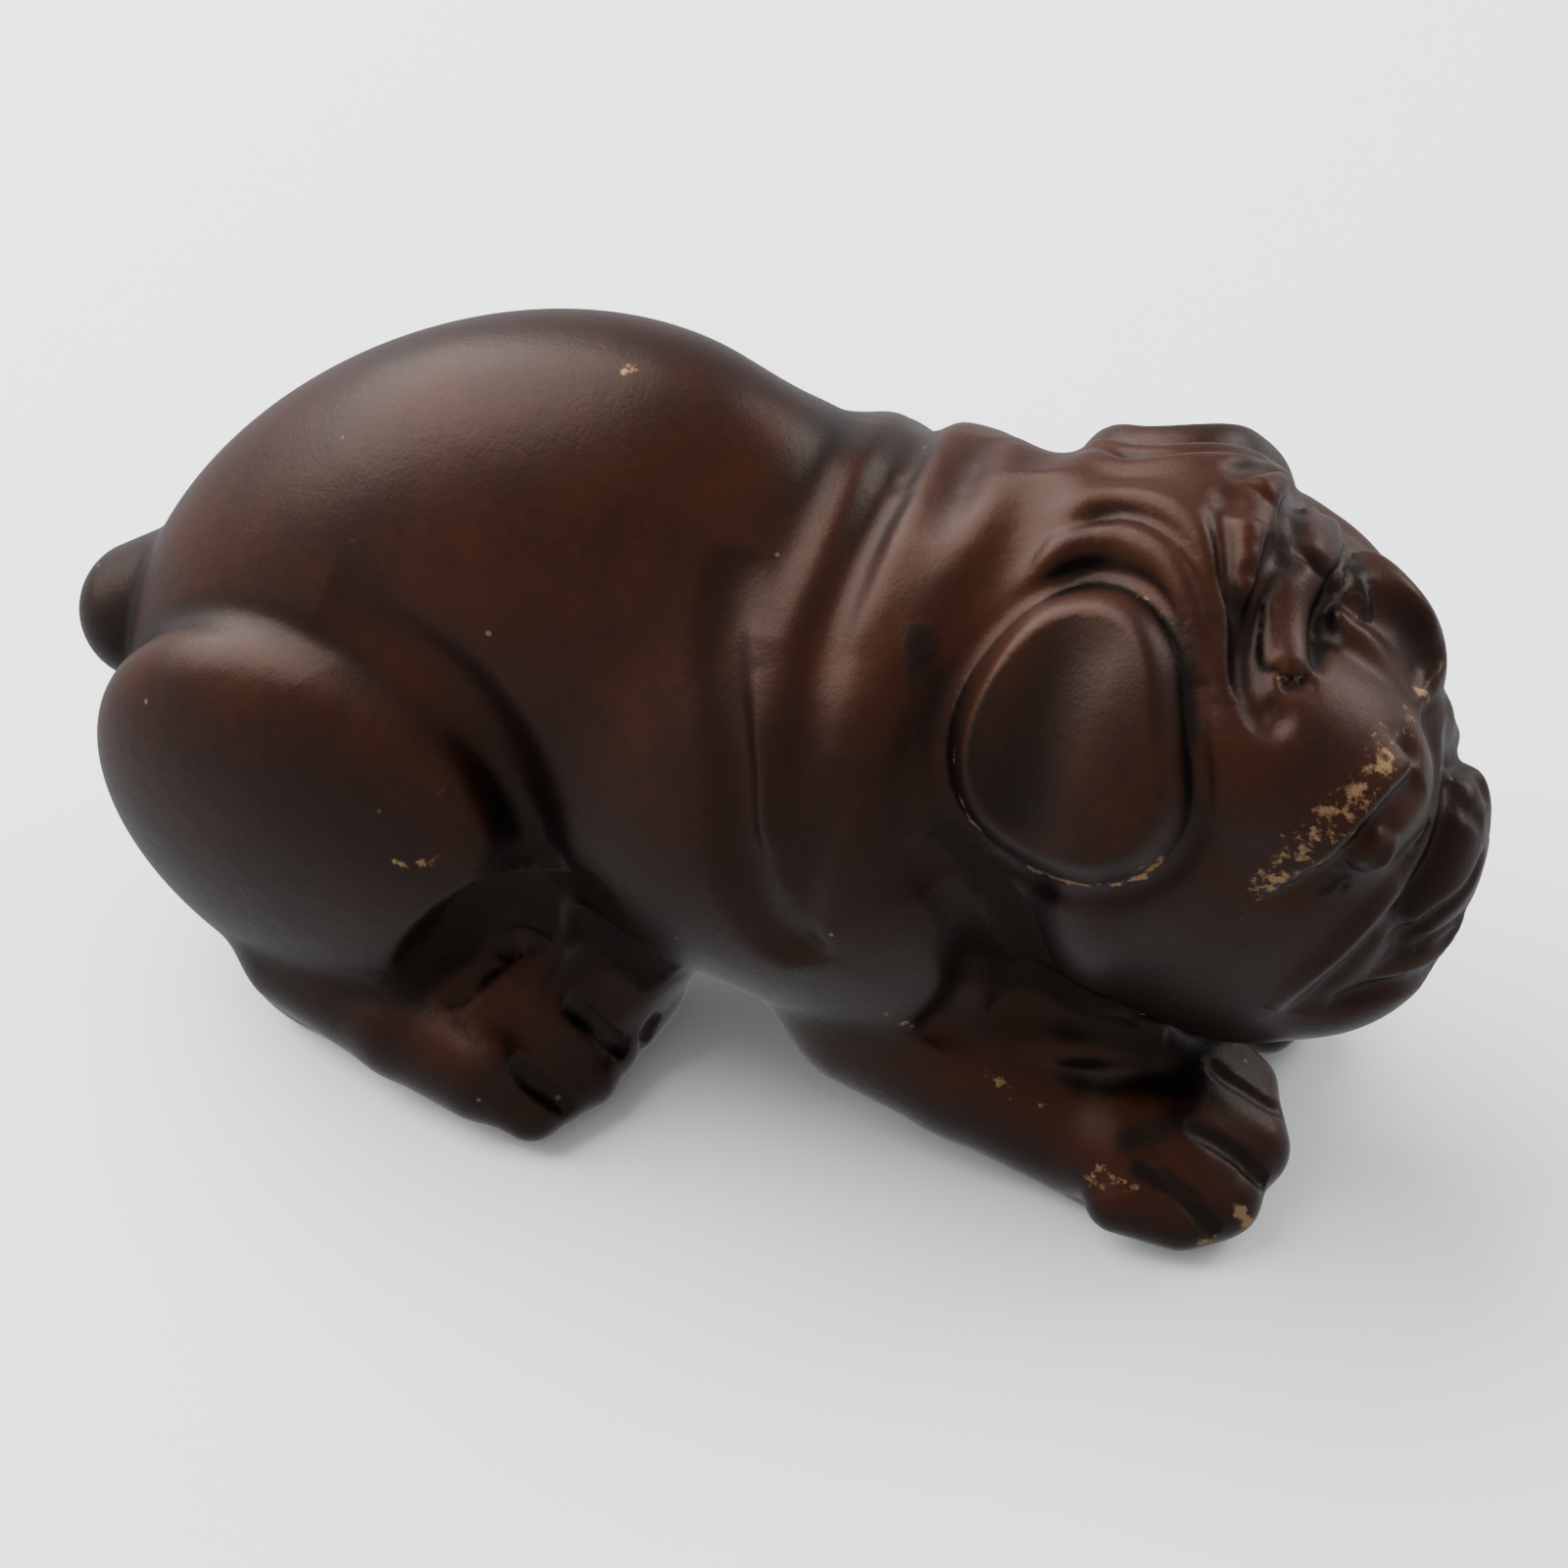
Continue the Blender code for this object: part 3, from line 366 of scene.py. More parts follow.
SKIN = [
    # neck groove 1
    Fold([(20, 0, 70), (20.8, 7.7, 69.3), (20.5, 13.5, 66.2), (20.2, 18.1, 62.8)],
         0.6, 3.0, ends=(0, 0.5)),
    # neck ridge 1
    Fold([(23.5, 0, 69.1), (24.1, 4.6, 69.5), (23.2, 13.8, 66), (22.9, 19.3, 62.2)],
         -0.4, 3.0, ends=(0, 0.5)),
    # neck groove 2
    Fold([(27.2, 0, 69.3), (27.3, 2.9, 69.6), (26.5, 11.4, 67.3), (25.8, 17, 64), (26.1, 22, 60),
          (26.5, 25.8, 55), (25.8, 28.1, 49), (25.1, 29.2, 41.7)],
         1.9, 2.1, ends=(0, 0.5)),
    # neck ridge 2
    Fold([(29.4, 0, 68.8), (29.7, 4.5, 69.7), (29.4, 13.7, 66.3), (28.7, 18.4, 63)],
         -0.5, 3.0, ends=(0, 0.5)),
    # neck groove 3
    Fold([(33.7, 0, 70.6), (33.7, 2.5, 70.8), (33.6, 8.3, 69.4)], 0.8, 2.8, ends=(0, 0.6)),
    # neck ridge 3
    Fold([(36.7, 0, 71.1), (37, 5.8, 71.2), (36.6, 12.3, 68.2)], -0.4, 2.8, ends=(0, 0.5)),
    # behind the head
    Fold([(40.9, 0, 73.1), (41.1, 7, 72.1), (39.9, 12.5, 68.6), (38.3, 17.6, 63.6), (37.2, 22, 57.7),
          (37.9, 25.2, 49.9), (39.9, 25.2, 42.5)],
         3.2, 3.2, ends=(0.4, 0.05)),
    # under the ear
    Fold([(38.6, 25.1, 48.8), (41.7, 24, 42), (43.6, 21.5, 34.6), (44.8, 17.6, 26), (49.5, 14.4, 21.1)],
         3.6, 3.0),
    # flank crease
    Fold([(15.9, 12.3, 67.6), (16.1, 16.4, 63.9), (16.8, 20.2, 60.1), (18.7, 23.8, 56.5),
          (20.2, 26.6, 52.2), (21, 28.5, 46.7), (22.7, 29.2, 41.1), (25, 28.8, 35.7), (27.8, 27.9, 32.6)],
         2.6, 2.1, ends=(0.35, 0.1)),
    # flank flap
    Fold([(19.6, 20.8, 60.2), (21.7, 24.9, 55.9), (22.8, 27.7, 50.2), (23.9, 28.9, 45.4)],
         -0.7, 1.6, ends=(0.3, 0.2)),
    # shoulder back edge
    Fold([(30.3, 24.9, 55.9), (28.9, 27.7, 49.5), (27.6, 28.9, 42.9), (26.9, 28.8, 36.9),
          (28, 27.9, 32.5)],
         1.5, 1.7, ends=(0.5, 0.1)),
    # shoulder edge
    Fold([(39.3, 25.4, 44.4), (42.2, 23.3, 37), (42.2, 20.8, 28.3), (39.4, 20.3, 21),
          (37.7, 21.1, 18.1)],
         2.4, 2.2, ends=(0.1, 0.2)),
    # thigh front
    Fold([(-23.2, 18.5, 57.1), (-15.5, 20.7, 55.4), (-9.4, 21.6, 51.8), (-5, 22, 45.5),
          (-2.8, 23.2, 39.1), (-2.5, 23, 31.3)],
         2.4, 3.0, ends=(0.45, 0.05)),
    # thigh hollow
    Fold([(-22.2, 23.2, 51.1), (-18.7, 26.1, 48.3), (-16.8, 28, 44.3)], 0.25, 4.0, ends=(0.4, 0.4)),
    # instep groove
    Fold([(-10.7, 26.3, 13.1), (-8.6, 24.1, 14.7), (-6.8, 21.6, 16.8), (-4.8, 20.3, 18.6),
          (-1.3, 20.2, 19.5)],
         0.8, 1.0),
    # hind knuckles
    Dent((-3.9, 29.4, 10), -0.5, 2.2),
    Dent((-0.8, 23.9, 12), -0.5, 2.2),
    Dent((3.8, 17.6, 14.1), -0.5, 2.2),
    # hind toes 1
    Fold([(0.4, 21.7, 13.3), (1.5, 21.4, 11.9), (2.6, 21, 10.6), (3.5, 20.7, 9.3), (4.3, 20.3, 7.8),
          (5, 19.7, 6.6), (5.7, 19.2, 5.4)],
         1.7, 1.4, ends=(0.25, 0.1), crisp=True),
    # hind toes 3
    Fold([(7.6, 14.3, 6.7), (7.2, 15, 6), (6.8, 15.7, 5.3), (6.7, 16, 4.5), (6.5, 16.4, 3.8)],
         1.2, 1.2, ends=(0.2, 0.2), crisp=True),
    # hind toes 2
    Fold([(-3.2, 28.3, 10.2), (-2.1, 28.3, 9), (-1.1, 28.1, 7.6), (-0.1, 27.9, 6.6), (1, 27.8, 5.7),
          (1.8, 27.7, 4.9), (2.6, 27.4, 3.8)],
         1.6, 1.4, ends=(0.25, 0.1), crisp=True),
    # forearm groove
    Fold([(42.6, 18, 20.4), (49.3, 15.4, 19.3), (54.5, 14.4, 18.4), (58.5, 11.9, 15.5)],
         1.4, 1.8, ends=(0.2, 0.3)),
    # wrist bump 1
    Dent((50, 16.1, 16.9), -0.7, 2.6),
    # wrist bump 2
    Dent((54.5, 15.2, 13.6), -0.25, 2.4),
    # wrist bump 3
    Dent((58.1, 15.5, 13.1), -0.2, 2.4),
    # forearm rim
    Fold([(49.5, 14.5, 20.7), (54.7, 13.3, 19.7), (59, 10.1, 15.8)], -0.4, 1.0),
    # front toes 1
    Fold([(63.2, 9.8, 12.6), (64.4, 9.8, 11.8), (65.7, 9.8, 10.9), (66.9, 9.6, 10.1),
          (68.2, 9.4, 9.2), (69.5, 9.2, 8.2), (70.8, 8.6, 6.9)],
         1.3, 1.1, ends=(0.2, 0.15), crisp=True),
    # front toes 2
    Fold([(62.8, 17.6, 11.6), (64.4, 17.4, 10.7), (66, 17, 9.7), (67.3, 16.8, 8.7),
          (68.5, 16.5, 7.6), (69.9, 16.7, 6.4), (71.1, 16.1, 4.3)],
         1.7, 1.3, ends=(0.35, 0.1), crisp=True),
    # front toes 3
    Fold([(60.1, 22.8, 9.5), (61.4, 22.8, 8.9), (62.7, 22.8, 8.3), (63.9, 22.8, 7.4),
          (65.2, 22.9, 6.5), (66.6, 23.1, 5.3), (67.9, 22.9, 3.8)],
         1.6, 1.3, ends=(0.35, 0.1), crisp=True),
    # knuckle hollow
    Dent((60.8, 20.7, 10.9), 0.7, 2.4),
    # ear rim
    Fold([(41.6, 12.1, 69), (44.9, 8.2, 71.6), (49.8, 6.4, 72.8), (54.9, 8.6, 72.8),
          (58, 12.2, 70.2), (60, 16.8, 66.4)],
         -1.1, 1.5),
    # ear rim groove
    Fold([(44.2, 7.1, 72.3), (49.3, 4.4, 73.5), (54.7, 6.4, 74), (58.6, 9.8, 71.8), (60.7, 13.7, 68.1)],
         0.5, 1.3),
    # ear fold
    Fold([(43.5, 6.4, 72.7), (47.8, 2.4, 73.8), (54, 3.8, 75), (58.7, 7.8, 73), (61.1, 12.4, 68.8),
          (62.6, 17.6, 65.5)],
         -0.8, 1.6),
    # forehead groove 1
    Fold([(57.6, 2.2, 75.3), (59.1, 5.3, 74.1), (60.2, 8.3, 72.1), (61.5, 10.1, 70), (63, 13, 67.6),
          (64.2, 16.5, 65.9)],
         1.3, 1.1),
    # forehead ridge 1
    Fold([(60.8, 2, 74.2), (61.6, 5.7, 72.7), (62.1, 9, 70.4), (63.1, 12.4, 67.7)],
         -1.3, 1.6, ends=(0.08, 0.5)),
    # forehead groove 2
    Fold([(63.7, 1.1, 72.2), (63.6, 4.7, 71.4), (63.3, 7.5, 70.1), (63.4, 10.4, 68.4),
          (64.2, 14.4, 66.7), (65.6, 16.9, 65.5), (66.9, 17.3, 64.9)],
         2.3, 1.2, ends=(0.1, 0.05)),
    # forehead strand
    Fold([(63.8, 6.4, 70.2), (64.3, 9.1, 68.2), (64.9, 13.2, 66.9)], -0.9, 0.7),
    # forehead pit
    Dent((67, 17.4, 64.9), 2.2, 1.5),
    # end of forehead ridge 2
    Fold([(69, 11.8, 65.9), (67.8, 13, 66.1), (66.6, 13.7, 66.4)], 0.8, 1.4, step=0.4),
    # forehead ridge 2
    Fold([(66.3, 0.6, 68.6), (66, 4.3, 68), (66.3, 8.2, 66.9), (67.4, 12.8, 66.3)],
         -1.5, 2.0, ends=(0.08, 0.05)),
    # brow groove
    Fold([(68.9, 0.2, 66.6), (68.2, 2.8, 65.9), (68.2, 5.9, 65.5), (69.3, 11.8, 65.8)],
         1.6, 0.9, ends=(0.1, 0.3)),
    # brow hollow
    Dent((68.7, 4.6, 65.1), 0.9, 1.5),
    # forehead dimple
    Dent((58.6, 0.8, 75.2), 0.9, 1.6, side=RIGHT),
    # rough pit
    Fold([(64.4, -1.8, 71.3), (64.4, 2.1, 71.3)], 1.5, 1.7, side=RIGHT, ends=(0, 0)),
    # furrow
    Fold([(72.9, 0, 65.4), (73.6, 0.5, 65), (76.2, 1.3, 62.3), (78.5, 0.7, 58.3)],
         2.4, 2.0, ends=(0.1, 0.1)),
    # left brow crest
    Fold([(69.4, -6, 66.4), (71.5, -6.3, 65.8), (74.2, -4.8, 65.1), (76.9, -3.6, 63),
          (78.7, -2.8, 60.1)],
         -0.7, 1.5, side=RIGHT),
    # brow crest
    Fold([(68.9, 1.1, 66.3), (70.8, 2, 65.4), (73.1, 1.9, 64.5), (75.6, 1.8, 62.6),
          (77.5, 1.5, 60.1), (78.7, 0.8, 57.2)],
         1.0, 2.6, side=RIGHT, ends=(0.1, 0.1), step=0.5),
    # inner corner
    Dent((78.7, 10.7, 58.6), 1.8, 1.4, side=RIGHT),
    # brow lower edge
    Fold([(79.2, 11.2, 57.8), (79, 12.6, 57.6), (78.1, 15.1, 57.5), (76.8, 17.7, 56.5),
          (75.4, 19.4, 54.7), (73.7, 20, 52), (71.1, 20.5, 49.2), (68.6, 21.4, 47.2)],
         1.6, 2.8, ends=(0.12, 0.35), step=0.35),
    # lower lid
    Fold([(78.4, 15.8, 56), (78.9, 16.6, 54), (78.6, 18.9, 52.8), (77.4, 19.5, 51), (74.7, 18.7, 49.5)],
         0.9, 0.8),
    # pits below the eye
    Dent((74.4, 18.7, 48.8), 0.6, 0.5),
    Dent((75.3, 17.5, 47.1), 0.6, 0.5),
    # cheek fold edge
    Fold([(80.2, 1.2, 53.8), (80.8, 1.8, 49), (81.3, 5.3, 47), (80.9, 7.5, 44.4), (79.6, 9.4, 40.8),
          (78.2, 13.9, 40.2), (76, 16.2, 37.1), (73.6, 17.2, 33.8), (71, 17.1, 29.3)],
         2.2, 2.4, ends=(0.15, 0.15), step=0.5),
    # cheek fold ridge
    Fold([(80.8, 10.9, 51.4), (79.8, 7.7, 44), (78.8, 12.2, 43.4), (77.1, 15.5, 41.6),
          (74.6, 17.6, 38.6)],
         -0.6, 1.4, ends=(0.2, 0.3)),
    # flew line 1
    Fold([(85.8, 1.6, 41), (85.2, 4.6, 38.4), (83.1, 7.3, 36.8), (80.9, 8.1, 34.5), (78.9, 12.1, 36.2)],
         1.0, 0.8),
    # flew line 2
    Fold([(85.4, 1.9, 33.5), (83.8, 5.2, 33.1), (81.1, 7.6, 31.9)], 0.6, 0.7),
    # flew ridge
    Fold([(85.4, 2.2, 32.5), (83.4, 3.9, 29.6), (80.8, 9.1, 30.4), (77.9, 12.5, 31.6)], -0.8, 0.9),
    # mouth
    Fold([(85, 1.1, 27.8), (83.3, 3.4, 26.3), (81.2, 9.1, 28.9), (78.5, 12.2, 29.7),
          (74.7, 15.2, 29.6)],
         1.4, 1.0, ends=(0, 0.3)),
    # nostril
    Dent((82.7, 2.3, 47.7), 1.4, 1.1),
    # nose wing
    Fold([(81.1, 0, 48.5), (81.4, 2, 48.4), (82.5, 4.1, 47.3)], 0.9, 1.0),
    # nose base
    Fold([(82.5, 4.4, 47.1), (83.8, 3, 46.5), (85.3, 1.5, 43.6)], 0.9, 0.9),
]


# The ears
# Two thick flaps with rounded edges that lie forward on the sides of the head, cast in one with it.

# A flap raises only what lies this near its middle plane, and its groove ends within this margin.
PAD_THICKNESS = 14.0
PAD_MARGIN = 6.0


class Pad:
    """A raised patch: eight reaches from its centre, its height, its edge and the groove round it."""

    def __init__(self, centre, forward, outward, reaches, height, edge, groove):
        self.centre = np.array(centre, float)
        w = np.array(outward, float)
        w /= np.linalg.norm(w)
        u = np.array(forward, float)
        u -= w * (u @ w)
        u /= np.linalg.norm(u)
        v = np.cross(w, u)
        if v[2] < 0:
            v = -v
        self.matrix = np.stack([u, v, w], 1)
        self.waves = np.fft.rfft(np.array(reaches, float)) / len(reaches)
        self.reaches = reaches
        self.height = height
        self.edge = edge
        self.groove = groove
        self.side = BOTH

    def reach(self, angle):
        n = len(self.waves) - 1
        total = np.full(angle.shape, self.waves[0].real)
        for k in range(1, n + 1):
            wave = self.waves[k]
            share = 1.0 if k == n else 2.0
            total += share * (wave.real * np.cos(k * angle) - wave.imag * np.sin(k * angle))
        return total

    def offset(self, points):
        far = max(self.reaches) + PAD_MARGIN
        near = np.nonzero((np.abs(points - self.centre) < far).all(1))[0]
        if not len(near):
            return near, None
        u, v, w = ((points[near] - self.centre) @ self.matrix).T
        across = np.hypot(u, v)
        reach = self.reach(np.arctan2(v, u))
        inside = reach - across
        share = np.clip(inside / self.edge, 0.0, 1.0)
        rise = share * (2.0 - share)
        trench = np.exp(-(((inside + self.groove[1]) / self.groove[1]) ** 2))
        amount = self.groove[0] * trench - self.height * rise
        return near, amount * (np.abs(w) < PAD_THICKNESS)


EARS = [
    Pad((48.8, 21.9, 61.3), (0.93, -0.19, 0.32), (-0.05, 0.8, 0.6),
        (11.6, 14.2, 12.4, 10.4, 11.2, 12.8, 13.8, 13.6), 2.9, 2.8, (0.5, 1.1)),
]


# The form
# All lumps and marks together. The paws and the hocks are cut flat where they stand, at this height, and
# rounded into the flat by this much.
GROUND = -1.2
SOLE_EDGE = 0.8


def form(points):
    """How far each point lies outside the figure's form, in units."""
    folded = points.copy()
    folded[:, 1] = np.sqrt(points[:, 1] ** 2 + MIDDLE_SOFTNESS**2)
    sides = {BOTH: folded, LEFT: points, RIGHT: points * np.array([1.0, -1.0, 1.0])}
    found = None
    for lump in CLAY:
        away = lump.distance(sides[lump.side])
        if found is None:
            found = away
        elif lump.cut:
            found = soft_most(found, -away, lump.blend)
        else:
            found = soft_least(found, away, lump.blend)
    for mark in SKIN + EARS:
        near, amount = mark.offset(sides[mark.side])
        if len(near):
            found[near] += amount
    return soft_most(found, GROUND - points[:, 2], SOLE_EDGE)


# How the casting is made
# Such a figure is modelled in wax and cast in one piece. Here the lumps are laid as overlapping balls,
# fused into one skin, and every point of that skin is then moved onto the form.

# How finely the rough clay and the skin are meshed, and how many triangles the skin keeps.
BALL_SUBDIVISIONS = 3
CLAY_GRAIN = 1.6
SKIN_GRAIN = 0.48
SKIN_TRIANGLES = 192000

# The points move onto the form in passes, each by no more than the longest move. Where the form is flatter
# than the least steepness, they move less.
PASSES = 3
LONGEST_MOVE = 1.5
LEAST_STEEPNESS = 0.4

# Where deep folds meet, a point that stands off its neighbours by more than this share of the grain is
# drawn back to them, in so many turns.
SPIKE = 0.32
SPIKE_TURNS = 16

# Points that lie this near the ground are set on it.
SOLE_CATCH = 0.12


def slope(points, step=0.04):
    """How the distance grows in each direction, from four samples around each point."""
    corners = np.array([(1, -1, -1), (-1, -1, 1), (-1, 1, -1), (1, 1, 1)], float)
    total = np.zeros_like(points)
    for corner in corners:
        total += corner * form(points + step * corner)[:, None]
    return total / (4.0 * step)


def mesh_points(mesh):
    flat = np.empty(len(mesh.vertices) * 3)
    mesh.vertices.foreach_get("co", flat)
    return flat.reshape(-1, 3)


def set_mesh_points(mesh, points):
    mesh.vertices.foreach_set("co", points.ravel())
    mesh.update()


def applied(obj):
    """The object with its modifiers made real."""
    graph = bpy.context.evaluated_depsgraph_get()
    mesh = bpy.data.meshes.new_from_object(obj.evaluated_get(graph))
    obj.modifiers.clear()
    old = obj.data
    obj.data = mesh
    bpy.data.meshes.remove(old)
    return obj


def remesh(obj, grain):
    modifier = obj.modifiers.new("grain", "REMESH")
    modifier.mode = "VOXEL"
    modifier.voxel_size = grain
    modifier.adaptivity = 0.0
    return applied(obj)


def lay_clay(name):
    """A rough union of every lump, as spheres that overlap."""
    bm = bmesh.new()
    for lump in CLAY:
        if lump.cut:
            continue
        for side in (LEFT, RIGHT) if lump.side == BOTH else (lump.side,):
            for centre, axes in lump.rounds():
                made = bmesh.ops.create_icosphere(bm, subdivisions=BALL_SUBDIVISIONS, radius=1.0)["verts"]
                local = np.array([v.co for v in made]) @ axes.T + centre
                local[:, 1] *= side
                for vert, place in zip(made, local):
                    vert.co = place
                if side == RIGHT:
                    faces = list({f for v in made for f in v.link_faces})
                    bmesh.ops.reverse_faces(bm, faces=faces)
    mesh = bpy.data.meshes.new(name)
    bm.to_mesh(mesh)
    bm.free()
    obj = bpy.data.objects.new(name, mesh)
    bpy.context.scene.collection.objects.link(obj)
    return obj


def press_to_form(obj):
    """Moves every point onto the form."""
    points = mesh_points(obj.data)
    for _ in range(PASSES):
        away = form(points)[:, None]
        rise = slope(points)
        steep = np.maximum((rise**2).sum(1)[:, None], LEAST_STEEPNESS)
        move = away * rise / steep
        far = np.linalg.norm(move, axis=1)[:, None]
        points -= move * np.minimum(1.0, LONGEST_MOVE / (far + 1e-9))
    set_mesh_points(obj.data, points)


def calm_spikes(obj, grain):
    """Draws each point that stands far off its neighbours' mean back to it, as where deep folds meet."""
    points = mesh_points(obj.data)
    ends = np.empty(2 * len(obj.data.edges), dtype=np.int64)
    obj.data.edges.foreach_get("vertices", ends)
    first, second = ends.reshape(-1, 2).T
    count = len(points)
    neighbours = np.bincount(np.concatenate([first, second]), minlength=count)
    for _ in range(SPIKE_TURNS):
        mean = np.empty_like(points)
        for axis in range(3):
            values = np.concatenate([points[second, axis], points[first, axis]])
            mean[:, axis] = np.bincount(np.concatenate([first, second]), values, count) / neighbours
        away = mean - points
        share = np.clip(np.linalg.norm(away, axis=1) / (SPIKE * grain) - 1.0, 0.0, 1.0)
        points += share[:, None] * away
    set_mesh_points(obj.data, points)


def thin_out(obj, triangles):
    """Keeps this many triangles, most of them where the form bends."""
    modifier = obj.modifiers.new("thin", "DECIMATE")
    modifier.decimate_type = "COLLAPSE"
    modifier.ratio = min(1.0, triangles / (2.0 * len(obj.data.polygons)))
    modifier.use_collapse_triangulate = True
    return applied(obj)


def flatten_soles(obj):
    """Sets the points that lie on the ground exactly on it."""
    points = mesh_points(obj.data)
    points[points[:, 2] < GROUND + SOLE_CATCH, 2] = GROUND
    set_mesh_points(obj.data, points)


dog = lay_clay("dog_skin")
remesh(dog, CLAY_GRAIN)
press_to_form(dog)
remesh(dog, SKIN_GRAIN)
press_to_form(dog)
calm_spikes(dog, SKIN_GRAIN)
flatten_soles(dog)
thin_out(dog, SKIN_TRIANGLES)


# Wear and dirt, with painted shade and painted highlight
# Handling has rubbed the dark patina off the edges that stand out, down to the golden metal, and the deep
# folds keep the rough grey-brown skin of the mould.

# Openness is felt at these distances above the skin, and a ridge at this depth below it.
OPEN_REACHES = (1.2, 3.0, 7.0)
RIDGE_DEPTH = 1.6

# How strongly a hollow and a ridge show.
HOLLOW_GAIN = 2.2
RIDGE_GAIN = 1.6

# Painted shade: the skin is darkened as it turns from upright to facing down, towards the ground from this
# height on, and on the tail.
UPRIGHT_SHADE = 0.62
FACING_DOWN_SHADE = 1.3
LOW_SHADE = 0.55
LOW_HEIGHT = 16.0
LOW_DEPTH = 12.0
TAIL_SHADE = 0.9
TAIL_EDGE = 1.5


def stroke(points, strength, width):
    """A soft stroke along the skin, as strong at its ends as in its middle."""
    return Fold(points, strength, width, ends=(0, 0))


RUBBED = [
    # ear, left edge
    stroke([(40.2, 20.9, 58), (41, 22.9, 52.5), (43, 22.8, 47.3), (46.5, 21.9, 44.3)], 1.0, 0.75),
    # ear, lower edge
    stroke([(46.5, 21.9, 44.3), (51.7, 25, 47.5), (56.9, 25.6, 49.3)], 1.0, 0.75),
    # ear, lower right
    stroke([(56.9, 25.6, 49.3), (58.5, 24.9, 50.5), (59.9, 23.8, 54.4)], 1.1, 0.8),
    # ear, lower right field
    stroke([(52.9, 25.3, 49.5), (57.7, 25.1, 51.8)], 0.5, 2.2),
    # ear, right edge
    stroke([(59.9, 23.8, 54.4), (59.5, 21.7, 60.7), (58.1, 19.1, 64.6)], 0.95, 0.75),
    # ear, right field
    stroke([(58.7, 21.9, 60.5), (59.5, 23.8, 54.8)], 0.48, 1.2),
    # ear, patch
    stroke([(54.2, 16.7, 66.2), (56, 16.1, 67.2)], 0.7, 1.1),
    # ear, top
    stroke([(52.7, 10.9, 70.4), (53.7, 11.2, 70.5)], 0.8, 0.6),
    # ear, scratch
    stroke([(49.8, 14.2, 64.9), (50.9, 17.7, 62.4)], 0.55, 0.4),
    # cheek
    stroke([(68.5, 21.5, 49), (71, 21.1, 52.2), (72.7, 20.8, 56.5), (75.6, 17.8, 58.6),
            (76.8, 12.7, 60.6)], 0.66, 2.6),
    # cheek edge
    stroke([(69.5, 21.1, 48.4), (71.9, 20.2, 49.7), (74.6, 19.9, 54.3), (76.9, 17.5, 56.8)], 0.72, 1.0),
    # cheek, upper
    stroke([(76.8, 16, 58.8), (77.6, 11.6, 59.9), (77.6, 6, 59.1)], 0.64, 1.8),
    # brow point
    stroke([(77.6, 2.2, 59.2), (78.6, 1.2, 57.2)], 0.9, 0.7),
    # forehead ridge end
    stroke([(66.8, 13.8, 66.3), (68.8, 12.7, 65.9)], 0.75, 0.8),
    # stop
    stroke([(68, 0.4, 66.9), (69.7, -1.6, 66.9)], 0.5, 0.7),
    # toe tip
    stroke([(69.5, 21.2, 4.6), (70.7, 20, 2.6)], 0.9, 1.1),
    # outer toe
    stroke([(65.8, 24.5, 3.9), (67.3, 23.4, 2.5)], 0.6, 0.9),
    # knuckle
    stroke([(54.9, 23.7, 7.5), (56.8, 24.7, 7.7)], 0.75, 0.9),
    # knuckle, field
    stroke([(55.8, 23.1, 9.2), (59.2, 24.3, 8.2)], 0.48, 1.8),
    # forearm patch 1
    stroke([(43.5, 20.3, 14.8), (46, 20.3, 13.2)], 0.72, 0.9),
    # forearm patch 2
    stroke([(49, 20, 12.2), (50.5, 20.1, 11.4)], 0.55, 0.6),
    # elbow patch
    stroke([(34.4, 23.5, 23.4), (36.4, 21.8, 20.5)], 0.62, 0.8),
    # forearm patch 3
    stroke([(56.7, 15.8, 13.2), (58.7, 16, 13)], 0.45, 1.0),
    # haunch scratch 1
    stroke([(-13.9, 29.3, 34.2), (-13.1, 29.1, 35.1)], 0.85, 0.35),
    # haunch scratch 2
    stroke([(-12.7, 29.1, 34.2), (-11.7, 28.9, 35.2)], 0.85, 0.35),
    # haunch scratch 3
    stroke([(-11.4, 28.9, 34.1), (-10.6, 28.7, 35.4)], 0.85, 0.35),
    # haunch scratch 4
    stroke([(-10.1, 28.6, 34.8), (-9.1, 28.3, 35.7)], 0.85, 0.35),
    # spot
    stroke([(2.2, 2.9, 78.1), (2.3, 3, 78)], 1.6, 0.75),
    # small spot
    stroke([(-10.3, 20.6, 56.9), (-10, 20.6, 56.8)], 1.4, 0.5),
]

